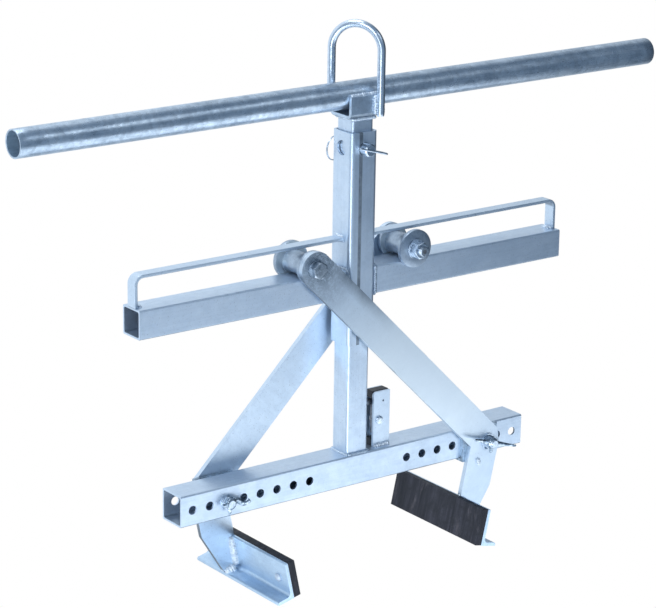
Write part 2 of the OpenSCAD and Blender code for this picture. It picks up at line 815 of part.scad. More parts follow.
// Wing nut before the front arm
module front_wing_nut() {
  color([0.7, 0.73, 0.76]) hung() translate([pivot_x, -arm_out - 0.1, pivot_z]) wing_shape();
}

// Wing nut on the beam's front face, for the rear arm
module rear_wing_nut() {
  color([0.7, 0.73, 0.76]) hung() translate([-pivot_x, -beam_w / 2, pivot_z]) wing_shape();
}

outer_mast();
left_crossbar();
right_crossbar();
left_guard();
right_guard();
post();
handle_saddle();
handle_tube();
lifting_loop();
locking_pin();
pin_clip();
pin_ring();
beam();
inner_mast();
latch_cheeks();
latch_cap();
latch_hook();
latch_pin();
latch_spring();
latch_stop();
front_shoe();
rear_shoe();
front_arm();
rear_arm();
right_jaw();
left_jaw();
right_pad();
left_pad();
right_pad_screws();
left_pad_screws();
left_roller();
right_roller();
left_bush();
right_bush();
left_roller_bolt();
right_roller_bolt();
left_roller_nut();
right_roller_nut();
front_pivot_bolt();
rear_pivot_bolt();
front_wing_nut();
rear_wing_nut();
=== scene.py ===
import json
import logging
from collections.abc import Callable, Iterable, Sequence
from dataclasses import dataclass
from enum import Enum
from math import atan2, copysign, cos, hypot, pi, radians, sin, sqrt, tanh
from typing import ClassVar

import bmesh
import bpy
import numpy as np
from mathutils import Matrix, Vector, noise

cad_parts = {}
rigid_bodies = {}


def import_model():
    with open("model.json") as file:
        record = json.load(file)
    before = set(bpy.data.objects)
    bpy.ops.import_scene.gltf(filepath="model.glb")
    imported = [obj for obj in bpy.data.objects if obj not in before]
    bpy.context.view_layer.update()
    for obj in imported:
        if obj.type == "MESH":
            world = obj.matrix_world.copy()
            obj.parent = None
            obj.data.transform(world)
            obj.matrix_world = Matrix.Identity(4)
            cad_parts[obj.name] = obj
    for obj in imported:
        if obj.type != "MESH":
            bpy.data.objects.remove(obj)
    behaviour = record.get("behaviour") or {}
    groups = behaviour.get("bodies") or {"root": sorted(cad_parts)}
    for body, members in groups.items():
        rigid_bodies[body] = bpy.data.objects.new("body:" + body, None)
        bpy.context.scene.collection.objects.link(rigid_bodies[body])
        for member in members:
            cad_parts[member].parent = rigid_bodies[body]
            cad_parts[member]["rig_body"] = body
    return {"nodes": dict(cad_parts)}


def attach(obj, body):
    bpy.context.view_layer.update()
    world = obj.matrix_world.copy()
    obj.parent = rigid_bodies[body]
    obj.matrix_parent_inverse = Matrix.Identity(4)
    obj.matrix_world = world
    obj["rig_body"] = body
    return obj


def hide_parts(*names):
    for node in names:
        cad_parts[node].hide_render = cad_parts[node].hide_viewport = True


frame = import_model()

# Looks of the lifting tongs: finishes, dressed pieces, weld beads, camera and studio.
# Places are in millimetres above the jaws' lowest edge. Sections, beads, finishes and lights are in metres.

logging.basicConfig(level=logging.INFO, format="%(message)s")
LOG = logging.getLogger("tongs")
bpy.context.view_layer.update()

RGB = tuple[float, float, float]
Mesh = bmesh.types.BMesh
Piece = bpy.types.Object
Outline = Sequence[tuple[float, float]]
Radius = Callable[[float, float], float]

SEAT = 0.8460
PIVOT_X, BEAM_Z, CROSSBAR_Z = 250, 150, 454
UPPER, LOWER = "upper_frame", "lower_frame"


def at(x: float, y: float, z: float) -> Vector:
    """Turns millimetres above the jaws' lowest edge into the row frame."""
    return Vector((x / 1000.0, y / 1000.0, z / 1000.0 - SEAT))


def along_y(x: float, y: float, z: float, towards: float = 1.0) -> Matrix:
    """Gives a frame whose local Z axis points along Y."""
    return Matrix.Translation(at(x, y, z)) @ Matrix.Rotation(-towards * pi / 2, 4, "X")


def arc(radius: float, start: float, end: float, steps: int, mid: tuple[float, float]) -> Outline:
    """Gives the points of an arc."""
    turns = [radians(start + (end - start) * i / steps) for i in range(steps + 1)]
    return [(mid[0] + radius * cos(a), mid[1] + radius * sin(a)) for a in turns]


def shade(colour: RGB, share: float) -> RGB:
    """Scales a colour."""
    return tuple(c * share for c in colour)


class Side(Enum):
    """Which of two mirrored assemblies is meant."""

    FRONT = 1
    REAR = -1

    @property
    def turn(self) -> Matrix:
        """Rotation that carries a front piece to this side."""
        return Matrix.Identity(4) if self is Side.FRONT else Matrix.Rotation(pi, 4, "Z")

    @property
    def tag(self) -> str:
        """Word for this side in names."""
        return self.name.lower()

    @property
    def arm(self) -> str:
        """Body of this side's arm."""
        return f"{self.tag}_arm"

    @property
    def jaw_hand(self) -> str:
        """Hand of this side's jaw, which the guard on the same half shares."""
        return "right" if self is Side.FRONT else "left"

    @property
    def roller_hand(self) -> str:
        """Hand of this side's roller, across the mast from the jaw."""
        return "left" if self is Side.FRONT else "right"


class Grain(Enum):
    """Direction in which a finish is drawn."""

    ALONG_X = (1.0, 0.0, 0.0)
    ALONG_Y = (0.0, 1.0, 0.0)
    ALONG_Z = (0.0, 0.0, 1.0)
    NONE = (0.0, 0.0, 0.0)


class Value:
    """An output of a node tree that can be reckoned with."""

    def __init__(self, graph: "Graph", socket: bpy.types.NodeSocket) -> None:
        """Keeps the tree and the output."""
        self.graph = graph
        self.socket = socket

    def __add__(self, other: "Value | float") -> "Value":
        """Gives the sum."""
        return self.graph.math("ADD", self, other)

    def __sub__(self, other: "Value | float") -> "Value":
        """Gives the difference."""
        return self.graph.math("SUBTRACT", self, other)

    def __mul__(self, other: "Value | float") -> "Value":
        """Gives the product."""
        return self.graph.math("MULTIPLY", self, other)

    def span(self, lo: float, hi: float, to_lo: float = 0.0, to_hi: float = 1.0,
             kind: str = "LINEAR") -> "Value":
        """Maps one span of the value to another, clamped."""
        return self.graph.add("MapRange", self, lo, hi, to_lo, to_hi, interpolation_type=kind)


Entry = Value | float | Sequence[float]


class Graph:
    """A node tree with short calls for the nodes in use."""

    def __init__(self, owner: bpy.types.Material | bpy.types.World, output: str) -> None:
        """Empties the owner's tree.

        Args:
            owner: The material or world.
            output: Kind of its output node.
        """
        owner.use_nodes = True
        self.tree = owner.node_tree
        self.tree.nodes.clear()
        self.output = self.tree.nodes.new("ShaderNodeOutput" + output)

    def put(self, socket: bpy.types.NodeSocket, value: Entry) -> None:
        """Links or sets one input.

        Args:
            socket: The input.
            value: What goes in.
        """
        if isinstance(value, Value):
            self.tree.links.new(value.socket, socket)
        elif socket.type == "RGBA":
            socket.default_value = (*value, 1.0)
        else:
            socket.default_value = value

    def add(self, kind: str, *values: Entry, out: int | str = 0, into: dict[int | str, Entry] | None = None,
            **settings: str | bool) -> Value:
        """Adds one node.

        Args:
            kind: The node's kind.
            *values: Its first inputs.
            out: The output that is wanted.
            into: Further inputs by name or number.
            **settings: The node's own settings.

        Returns:
            The output.
        """
        node = self.tree.nodes.new("ShaderNode" + kind)
        for key, value in settings.items():
            setattr(node, key, value)
        for key, value in (*enumerate(values), *(into or {}).items()):
            self.put(node.inputs[key], value)
        return Value(self, node.outputs[out])

    def math(self, kind: str, a: Entry, b: Entry = 0.0, clamp: bool = False) -> Value:
        """Adds one math node."""
        return self.add("Math", a, b, operation=kind, use_clamp=clamp)

    def blend(self, fac: Entry, a: Entry, b: Entry, kind: str = "MIX") -> Value:
        """Mixes two colours."""
        return self.add("Mix", out=2, into={"Factor": fac, 6: a, 7: b}, data_type="RGBA", blend_type=kind)

    def split(self, vector: Value) -> list[Value]:
        """Gives a vector's three numbers."""
        node = self.tree.nodes.new("ShaderNodeSeparateXYZ")
        self.put(node.inputs[0], vector)
        return [Value(self, socket) for socket in node.outputs]


class Surface(Graph):
    """The node tree of one material."""

    def __init__(self, name: str, turn: float = 0.0) -> None:
        """Starts the material.

        Args:
            name: Name of the material.
            turn: Turn about Y of its plain coordinates.
        """
        self.material = bpy.data.materials.new(name)
        super().__init__(self.material, "Material")
        self.shader = self.tree.nodes.new("ShaderNodeBsdfPrincipled")
        self.tree.links.new(self.shader.outputs[0], self.output.inputs[0])
        self.where = self.add("TexCoord", out="Object")
        self.facing = self.add("TexCoord", out="Normal")
        self.plain = self.mapped((1, 1, 1), turn)

    def mapped(self, scale: Sequence[float], turn: float) -> Value:
        """Gives object coordinates, turned about Y and then scaled."""
        turned = self.add("Mapping", into={"Vector": self.where, "Rotation": (0, turn, 0)})
        return self.add("Mapping", into={"Vector": turned, "Scale": scale})

    def noise(self, vector: Value, scale: float, detail: float = 4.0, rough: float = 0.55,
              twist: float = 0.0) -> Value:
        """Gives grey noise of one scale."""
        layers = {"Scale": scale, "Detail": detail, "Roughness": rough, "Distortion": twist}
        return self.add("TexNoise", vector, out="Fac", into=layers)

    def bump(self, height: Value, strength: float, depth: float, under: Value | None = None) -> Value:
        """Gives the normal of a bump."""
        below = {} if under is None else {"Normal": under}
        return self.add("Bump", into={"Strength": strength, "Distance": depth, "Height": height, **below})

    def close(self, colour: Entry, rough: Entry, metal: float, normal: Value,
              **more: float) -> bpy.types.Material:
        """Sets the shader's inputs.

        Args:
            colour: Base colour.
            rough: Roughness.
            metal: Metallic share.
            normal: Bumped normal.
            **more: Further inputs by name, with underscores for spaces.

        Returns:
            The finished material.
        """
        more = {"Base_Color": colour, "Roughness": rough, "Metallic": metal, "Normal": normal, **more}
        for key, value in more.items():
            self.put(self.shader.inputs[key.replace("_", " ")], value)
        return self.material


@dataclass(frozen=True)
class Zinc:
    """Hot-dip or electro zinc on steel.

    Attributes:
        slot: The record's material slot.
        light: Colour of the bright patches.
        dark: Colour of the dull patches.
        grain: Direction of the drawn streaks.
        turn: Rotation about Y that the streaks follow.
        patch: Size of the patches, as a noise scale.
        spangle: Strength of the crystal pattern.
        streak: Strength of the streaks.
        rough: Lowest and highest roughness.
        lumps: Depth of the zinc's unevenness in metres.
        metal: Metallic share.
        under: Share of painted shade on faces that look down.
        inner: Share of painted light on forward faces on the rear half, which lightens faces that lie in
            shade.
        stripe: Centre of a dark band along Z on the front face, or None.
        scuff: Middle of the painted light, painted dark reflection and scuffed arcs round the roller bolt, in
            metres, or None.
    """

    slot: str
    light: RGB
    dark: RGB
    grain: Grain = Grain.ALONG_X
    turn: float = 0.0
    patch: float = 14.0
    spangle: float = 0.03
    streak: float = 0.35
    rough: tuple[float, float] = (0.33, 0.41)
    lumps: float = 0.00003
    metal: float = 0.92
    under: float = 0.55
    inner: float = 0.0
    stripe: float | None = None
    scuff: tuple[float, float, float] | None = None

    def build(self, name: str) -> bpy.types.Material:
        """Makes the material."""
        return ZincSurface(name, self).finish()


class ZincSurface(Surface):
    """A zinc recipe laid out as nodes."""

    PULL = 0.05
    SHADOW: RGB = (0.05, 0.07, 0.10)
    SHEEN: RGB = (0.95, 1.0, 1.0)
    CLEAN: RGB = (0.88, 0.95, 1.0)
    SHANK: RGB = (0.56, 0.67, 0.80)
    RIM: RGB = (0.06, 0.09, 0.13)
    WORN: RGB = (0.07, 0.105, 0.155)

    def __init__(self, name: str, recipe: Zinc) -> None:
        """Lays out what the steps share.

        Args:
            name: Name of the material.
            recipe: The finish.
        """
        super().__init__(name, recipe.turn)
        self.recipe = recipe
        self.drawn = self.mapped([self.PULL if share else 1.0 for share in recipe.grain.value], recipe.turn)
        self.clouds = self.noise(self.plain, recipe.patch * 4.2, 6.0, 0.65, 0.5)
        self.streaks = self.noise(self.drawn, 260.0, 4.0, 0.6)
        self.fine = self.noise(self.drawn, 900.0, 3.0, 0.6)
        self.x, self.y, self.z = self.split(self.where)
        _, self.forward, self.up = self.split(self.facing)
        self.colour = self._metal()
        self.rough = self.clouds.span(0.3, 0.7, recipe.rough[1], recipe.rough[0])
        self.rough += self.fine.span(0.3, 0.7, -0.03, 0.05)

    def _metal(self) -> Value:
        """Mixes patches, clouds, streaks, crystals and specks.

        Returns:
            The colour.
        """
        dark, share, spangle = self.recipe.dark, self.recipe.streak, self.recipe.spangle
        patches = self.noise(self.plain, self.recipe.patch, 5.0, 0.6, 0.8)
        tone = (patches * 0.62 + self.clouds * 0.38).span(0.36, 0.64)
        tone = tone * (1.0 - share) + self.streaks.span(0.34, 0.66) * share
        colour = self.blend(tone, dark, self.recipe.light)
        crystals = self.add("TexVoronoi", out="Color", into={"Vector": self.plain, "Scale": 150.0})
        grey = self.add("RGBToBW", crystals).span(0.2, 0.8, 1.0 - spangle, 1.0 + spangle * 0.4)
        colour = self.blend(1.0, colour, self.add("CombineColor", grey, grey, grey), "MULTIPLY")
        specks = self.noise(self.plain, 520.0, 2.0, 0.5).span(0.655, 0.71, 0.0, 0.45)
        return self.blend(specks, colour, shade(dark, 0.45))

    def _tint(self, share: Value, colour: RGB) -> None:
        """Mixes a colour in."""
        self.colour = self.blend(share, self.colour, colour)

    def _seam(self) -> None:
        """Draws a dark band down the front face."""
        edge = self.x + self.noise(self.drawn, 90.0).span(0.3, 0.7, -0.0006, 0.0006)
        band = self.math("ABSOLUTE", edge - self.recipe.stripe).span(0.0026, 0.0034, 1.0, 0.0)
        band = band * self.math("LESS_THAN", self.y, 0.0) * self.clouds.span(0.25, 0.6, 0.55, 0.92)
        self._tint(band, shade(self.recipe.dark, 0.30))
        self.rough += band * 0.12

    def _wear(self) -> None:
        """Paints light on the lower arm and a dark reflection along its upper edge below the bolt, darkens
        the shank, and darkens the zinc round the roller bolt with scuffed arcs and painted dark reflection.
        """
        away = self.add("VectorMath", self.where, self.recipe.scuff, out="Value", operation="DISTANCE")
        # Painted light: the arm is lightened from about 70 mm out to about 500 mm from the roller bolt.
        self._tint(away.span(0.07, 0.21, 0.0, 0.75) * away.span(0.40, 0.50, 1.0, 0.0), self.CLEAN)
        self._tint(away.span(0.46, 0.56, 0.0, 0.6), self.SHANK)
        # Painted dark reflection in a band along the arm's upper edge, about 20 to 190 mm down from the bolt.
        x, z = self.x - self.recipe.scuff[0], self.z - self.recipe.scuff[2]
        c, s = cos(self.recipe.turn), sin(self.recipe.turn)
        across, down = x * c + z * s, x * s - z * c
        rim = across.span(0.002, 0.024) * down.span(0.02, 0.05) * down.span(0.10, 0.19, 0.8, 0.0)
        self._tint(rim * self.clouds.span(0.3, 0.6, 0.7, 1.0), self.RIM)
        # Scuffed arcs round the roller bolt, over a zone within about 85 mm that is darkened as painted dark
        # reflection.
        wear_and_shade_noise = self.noise(self.plain, 210.0, 5.0, 0.7, 0.6)
        zone = away.span(0.020, 0.085, 1.0, 0.0) * wear_and_shade_noise.span(0.30, 0.55, 0.25, 1.0)
        arcs = self.math("SINE", away * 2600.0 + wear_and_shade_noise.span(0.3, 0.7, 0.0, 9.0)).span(0.45, 0.95)
        arcs = arcs * away.span(0.022, 0.034, 1.0, 0.0)
        zone = self.math("ADD", zone * 0.55, arcs * 0.35, True) * self.forward.span(-0.45, -0.80, 0.15, 1.0)
        self._tint(zone, self.WORN)
        self.rough += zone * 0.10

    def finish(self) -> bpy.types.Material:
        """Adds the marks that the recipe asks for.

        Returns:
            The material.
        """
        # Painted shade: faces that look down are darkened.
        self._tint(self.up.span(-0.05, -0.40, 0.0, self.recipe.under), self.SHADOW)
        # Painted light: forward faces on the rear half, such as the far roller disc, are lightened where they
        # lie in shade.
        if self.recipe.inner > 0:
            facing = self.forward.span(-0.80, -0.95) * self.math("GREATER_THAN", self.y, 0.0)
            self._tint(facing * self.recipe.inner, self.SHEEN)
        if self.recipe.stripe is not None:
            self._seam()
        if self.recipe.scuff is not None:
            self._wear()
        lump = self.bump(self.clouds, 0.55, self.recipe.lumps)
        normal = self.bump(self.fine + self.streaks * 0.6, 0.30, 0.00004, lump)
        return self.close(self.colour, self.rough, self.recipe.metal, normal)


@dataclass(frozen=True)
class Weld:
    """Bright, rough weld metal under zinc."""

    light: RGB = (0.86, 0.93, 1.0)
    dark: RGB = (0.56, 0.65, 0.77)
    metal: float = 0.9
    slot: str = "zinc_plate"

    def build(self, name: str) -> bpy.types.Material:
        """Makes the material.

        Args:
            name: Name of the material.

        Returns:
            The material.
        """
        g = Surface(name)
        spots = g.noise(g.plain, 240.0, 5.0, 0.65, 0.6)
        colour = g.blend(spots.span(0.35, 0.65), self.dark, self.light)
        normal = g.bump(g.noise(g.plain, 700.0), 0.5, 0.00025)
        return g.close(colour, spots.span(0.3, 0.7, 0.50, 0.30), self.metal, normal)


@dataclass(frozen=True)
class Bright:
    """Turned, forged or drawn steel with bright zinc plating."""

    slot: str = "bright_fastener"
    light: RGB = (0.76, 0.84, 0.93)
    dark: RGB = (0.46, 0.54, 0.64)
    rough: tuple[float, float] = (0.18, 0.30)
    pit: float = 0.00002
    metal: float = 1.0

    def build(self, name: str) -> bpy.types.Material:
        """Makes the material.

        Args:
            name: Name of the material.

        Returns:
            The material.
        """
        g = Surface(name)
        spots = g.noise(g.plain, 120.0, 6.0, 0.62, 0.7)
        fine = g.noise(g.plain, 1500.0, 3.0)
        colour = g.blend(spots.span(0.36, 0.66), self.dark, self.light)
        rough = spots.span(0.3, 0.7, self.rough[1], self.rough[0]) + fine.span(0.3, 0.7, -0.03, 0.04)
        return g.close(colour, rough, self.metal, g.bump(fine + spots, 0.35, self.pit))


@dataclass(frozen=True)
class Rubber:
    """Black sheet rubber with faint streaks up and down its face."""

    lean: float
    slot: str = "rubber"
    light: RGB = (0.072, 0.070, 0.092)
    dark: RGB = (0.012, 0.013, 0.020)
    rubbed: RGB = (0.115, 0.100, 0.112)

    def build(self, name: str) -> bpy.types.Material:
        """Makes the material.

        Args:
            name: Name of the material.

        Returns:
            The material.
        """
        g = Surface(name)
        upright = g.mapped((0.6, 1.0, 0.06), -self.lean)
        streak = g.noise(upright, 190.0, 5.0, 0.62, 0.3)
        wide = g.noise(upright, 42.0, 4.0, 0.6, 0.4)
        dust = g.noise(g.plain, 60.0, 6.0, 0.7, 0.6)
        tone = streak.span(0.42, 0.7, 0.0, 0.55) + wide.span(0.45, 0.7, 0.0, 0.5)
        tone = g.math("MULTIPLY", tone, dust.span(0.38, 0.60, 0.12, 1.0), True)
        patch = g.noise(g.mapped((1.0, 1.0, 0.30), -self.lean), 48.0, 5.0, 0.65, 0.8).span(0.56, 0.70)
        colour = g.blend(patch * 0.55, g.blend(tone, self.dark, self.light), self.rubbed)
        normal = g.bump(g.noise(g.plain, 2200.0, 3.0, 0.6) + streak * 1.5, 0.45, 0.00012)
        return g.close(colour, dust.span(0.3, 0.7, 0.46, 0.70), 0.0, normal, Specular_IOR_Level=0.32)


@dataclass(frozen=True)
class Moulded:
    """Black moulded plastic with a fine spark-eroded grain."""

    slot: str = "black_plastic"
    colour: RGB = (0.018, 0.018, 0.021)

    def build(self, name: str) -> bpy.types.Material:
        """Makes the material.

        Args:
            name: Name of the material.

        Returns:
            The material.
        """
        g = Surface(name)
        wear = g.noise(g.plain, 90.0, 5.0, 0.65)
        colour = g.blend(wear.span(0.45, 0.75), self.colour, shade(self.colour, 2.6))
        normal = g.bump(g.noise(g.plain, 2600.0, 3.0, 0.6), 0.5, 0.0001)
        return g.close(colour, wear.span(0.3, 0.7, 0.38, 0.55), 0.0, normal)


class Finishes:
    """All finishes of the object, made once and shared."""

    TUBE: tuple[RGB, RGB] = ((0.74, 0.835, 0.95), (0.61, 0.715, 0.845))
    FLAT: tuple[RGB, RGB] = ((0.73, 0.83, 0.94), (0.665, 0.765, 0.88))
    ARM_RUN = (0.34625, 0.348)
    PAD_LEAN = 12.5

    def __init__(self) -> None:
        """Builds every material."""
        slope, lean = atan2(*self.ARM_RUN), radians(self.PAD_LEAN)
        table = {
            "tube_x": Zinc("zinc_tube", *self.TUBE),
            "tube_z": Zinc("zinc_tube", *self.TUBE, Grain.ALONG_Z),
            "sleeve": Zinc("zinc_tube", *self.TUBE, Grain.ALONG_Z, stripe=-0.007),
            "plate": Zinc("zinc_plate", *self.FLAT, Grain.NONE, streak=0.12),
            "shoe": Zinc("zinc_plate", (0.66, 0.79, 0.92), (0.12, 0.18, 0.26), Grain.ALONG_Z, patch=60.0,
                         spangle=0.25, streak=0.3),
            "flat_x": Zinc("zinc_plate", *self.FLAT),
            "angle": Zinc("zinc_plate", (0.68, 0.83, 0.98), (0.50, 0.64, 0.80), Grain.ALONG_Y, streak=0.3,
                          under=0.1),
            "handle": Zinc("zinc_handle", (0.74, 0.84, 0.95), (0.36, 0.45, 0.56), patch=30.0, spangle=0.12,
                           streak=0.32, rough=(0.24, 0.40), lumps=0.00008, under=0.0),
            "bore": Zinc("zinc_handle", (0.30, 0.42, 0.54), (0.16, 0.24, 0.34), metal=0.15, under=0.0),
            "saddle": Zinc("zinc_plate", (0.66, 0.77, 0.89), (0.42, 0.52, 0.64), Grain.NONE, patch=50.0,
                           spangle=0.10, streak=0.12, lumps=0.0001),
            # On the front arm: painted light, painted dark reflection and scuffed arcs round the roller bolt.
            "front_arm": Zinc("zinc_arm", *self.FLAT, turn=slope, streak=0.4, under=0.85,
                              scuff=tuple(at(-92, -38, 498))),
            "rear_arm": Zinc("zinc_arm", *self.FLAT, turn=-slope, streak=0.4, under=0.85),
            "roller": Zinc("roller_steel", (0.54, 0.62, 0.72), (0.33, 0.40, 0.49), Grain.NONE, patch=60.0,
                           streak=0.1, rough=(0.28, 0.42), under=0.2, inner=0.85),
            "bright": Bright(),
            "head": Bright(light=(0.66, 0.73, 0.81), dark=(0.20, 0.25, 0.31), rough=(0.22, 0.44), pit=5e-5),
            "loop": Bright(light=(0.80, 0.88, 0.98), dark=(0.62, 0.71, 0.82), rough=(0.24, 0.33), pit=4e-6),
            "cast": Bright(light=(0.80, 0.90, 1.00), dark=(0.10, 0.16, 0.23), rough=(0.14, 0.34), pit=1e-4),
            "rivet": Bright(light=(0.66, 0.74, 0.85), dark=(0.50, 0.58, 0.69), rough=(0.42, 0.52), metal=0.7),
            "dull": Bright("latch_steel", (0.34, 0.35, 0.38), (0.14, 0.15, 0.17), (0.34, 0.50)),
            "brass": Bright("bush_brass", (0.72, 0.56, 0.30), (0.46, 0.34, 0.18), (0.26, 0.42)),
            "rubber_right": Rubber(lean),
            "rubber_left": Rubber(-lean),
            "plastic": Moulded(),
            "weld": Weld(),
            "bead": Weld((0.92, 0.96, 1.0), (0.60, 0.69, 0.80), 0.45),
        }
        self.slots = {key: value.slot for key, value in table.items()}
        self.made = {key: value.build("m_" + key) for key, value in table.items()}


class Maker:
    """Turns vertex lists and profiles into placed pieces."""

    def __init__(self, finishes: Finishes) -> None:
        """Keeps the finishes."""
        self.finishes = finishes
        self.count = 0

    def place(self, name: str, bm: Mesh, finish: str, body: str, nodes: Iterable[str] = (),
              sharp: float = 35.0) -> Piece:
        """Makes a piece from a bmesh and lets it ride on a body.

        Args:
            name: Name of the piece.
            bm: The mesh, which is freed.
            finish: Name of the finish.
            body: The CAD body.
            nodes: CAD nodes that it stands for.
            sharp: Angle in degrees from which an edge stays sharp.

        Returns:
            The new object.
        """
        bmesh.ops.recalc_face_normals(bm, faces=bm.faces)
        limit = radians(sharp)
        for face in bm.faces:
            face.smooth = True
        for edge in bm.edges:
            edge.smooth = not (len(edge.link_faces) == 2 and edge.calc_face_angle(0.0) > limit)
        mesh = bpy.data.meshes.new(name)
        bm.to_mesh(mesh)
        bm.free()
        mesh.materials.append(self.finishes.made[finish])
        obj = bpy.data.objects.new(name, mesh)
        bpy.context.scene.collection.objects.link(obj)
        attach(obj, body)
        if nodes:
            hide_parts(*nodes)
        self.count += 1
        LOG.info("piece %s on %s, %d faces", name, body, len(mesh.polygons))
        return obj

    def skin(self, node: str, bm: Mesh, finish: str, sharp: float = 35.0) -> Piece:
        """Makes the piece that stands for one CAD node, on that node's body."""
        return self.place(node + "_skin", bm, finish, frame["nodes"][node]["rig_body"], [node], sharp)

    @staticmethod
    def baked(obj: Piece) -> bpy.types.Mesh:
        """Gives an object's mesh with its modifiers applied."""
        return bpy.data.meshes.new_from_object(obj.evaluated_get(bpy.context.evaluated_depsgraph_get()))

    def dress(self, node: str, finish: str, width: float = 0.0007, steps: int = 2, angle: float = 30.0,
              corner: Callable[[bmesh.types.BMEdge], float] | None = None,
              shape: Callable[[Mesh], None] | None = None) -> None:
        """Replaces a CAD node by a copy with rounded edges.

        Args:
            node: The CAD node.
            finish: Name of the finish.
            width: Edge radius in metres.
            steps: Segments of each rounded edge.
            angle: Edges above this angle, in degrees, are rounded.
            corner: Gives the radius of an edge that is rounded first, or 0.
            shape: Changes the copy before its edges are rounded.
        """
        bm = bmesh.new()
        bm.from_mesh(frame["nodes"][node].data)
        if shape:
            shape(bm)
        bmesh.ops.remove_doubles(bm, verts=bm.verts, dist=2e-6)
        bmesh.ops.dissolve_limit(bm, angle_limit=radians(0.4), verts=bm.verts, edges=bm.edges)
        large = [e for e in bm.edges if corner and corner(e) > 0]
        if large:
            bmesh.ops.bevel(bm, geom=large, offset=corner(large[0]), segments=6, profile=0.5, affect="EDGES",
                            clamp_overlap=True)
        edges = [e for e in bm.edges if len(e.link_faces) == 2 and e.calc_face_angle(0.0) > radians(angle)]
        bmesh.ops.bevel(bm, geom=edges, offset=width, segments=steps, profile=0.6, affect="EDGES",
                        clamp_overlap=True, loop_slide=True)
        self.fan(bm)
        obj = self.skin(node, bm, finish, 40.0)
        mesh = obj.data
        flat = obj.modifiers.new("normals", "WEIGHTED_NORMAL")
        flat.keep_sharp = True
        flat.weight = 90
        baked = self.baked(obj)
        obj.modifiers.clear()
        obj.data = baked
        bpy.data.meshes.remove(mesh)

    @staticmethod
    def fan(bm: Mesh) -> None:
        """Cuts faces of many corners into triangles."""
        bmesh.ops.triangulate(bm, faces=[f for f in bm.faces if len(f.verts) > 8])

    @staticmethod
    def lathe(profile: Outline, place: Matrix, around: int = 72, into: Mesh | None = None,
              wobble: Radius | None = None) -> Mesh:
        """Revolves a profile about the local Z axis.

        Args:
            profile: Pairs of radius and height in metres. A radius of 0 closes the end.
            place: Where the local frame goes.
            around: Segments of a turn.
            into: Mesh to add to.
            wobble: Gives a factor on the radius for an angle and a height.

        Returns:
            The mesh.
        """
        bm = into or bmesh.new()
        rings = []
        for radius, height in profile:
            ring = []
            for index in range(around if radius > 1e-9 else 1):
                a = 2 * pi * index / around
                r = radius * (wobble(a, height) if wobble else 1.0)
                ring.append(bm.verts.new(place @ Vector((r * cos(a), r * sin(a), height))))
            rings.append(ring)
        for low, high in zip(rings, rings[1:]):
            for index in range(around if len(low) + len(high) > 2 else 0):
                after = (index + 1) % around
                corners = [low[i % len(low)] for i in (index, after)]
                corners += [high[i % len(high)] for i in (after, index)]
                bm.faces.new(tuple(dict.fromkeys(corners)))
        return bm

    @staticmethod
    def sweep(path: Sequence[Vector], radius: Radius, around: int = 16, closed: bool = False,
              into: Mesh | None = None, squash: float = 1.0) -> Mesh:
        """Sweeps a round section along a path.

        Args:
            path: Points in metres.
            radius: Gives the radius for an angle and a point number.
            around: Segments of the section.
            closed: True when the path closes on itself.
            into: Mesh to add to.
            squash: Share of the radius that is kept along Y.

        Returns:
            The mesh.
        """
        bm = into or bmesh.new()
        count = len(path)
        ahead = []
        for index in range(count):
            before = path[(index - 1) % count] if closed or index else path[index]
            after = path[(index + 1) % count] if closed or index < count - 1 else path[index]
            ahead.append((after - before).normalized())
        seed = Vector((0, 0, 1)) if abs(ahead[0].z) < 0.9 else Vector((1, 0, 0))
        side = (seed - ahead[0] * seed.dot(ahead[0])).normalized()
        flat = Vector((0, 1, 0))
        rings = []
        for index in range(count):
            if index:
                side = side - ahead[index] * side.dot(ahead[index])
                side.normalize()
            up = ahead[index].cross(side)
            ring = []
            for step in range(around):
                a = 2 * pi * step / around
                offset = (side * cos(a) + up * sin(a)) * radius(a, index)
                if squash < 1:
                    offset -= flat * offset.dot(flat) * (1 - squash)
                ring.append(bm.verts.new(path[index] + offset))
            rings.append(ring)
        for low, high in zip(rings, rings[1:] + rings[:1] if closed else rings[1:]):
            for step in range(around):
                after = (step + 1) % around
                bm.faces.new((low[step], low[after], high[after], high[step]))
        if not closed:
            bm.faces.new(list(reversed(rings[0])))
            bm.faces.new(rings[-1])
        return bm

    @staticmethod
    def solid(outline: Outline, depth: tuple[float, float], place: Matrix) -> Mesh:
        """Extrudes a closed outline along the local Z axis.

        Args:
            outline: Points in metres.
            depth: Lower and upper end in metres.
            place: Where the local frame goes.

        Returns:
            The mesh.
        """
        bm = bmesh.new()
        ends = [[bm.verts.new(place @ Vector((x, y, z))) for x, y in outline] for z in depth]
        bm.faces.new(list(reversed(ends[0])))
        bm.faces.new(ends[1])
        for index in range(len(outline)):
            after = (index + 1) % len(outline)
            bm.faces.new((ends[0][index], ends[0][after], ends[1][after], ends[1][index]))
        return bm


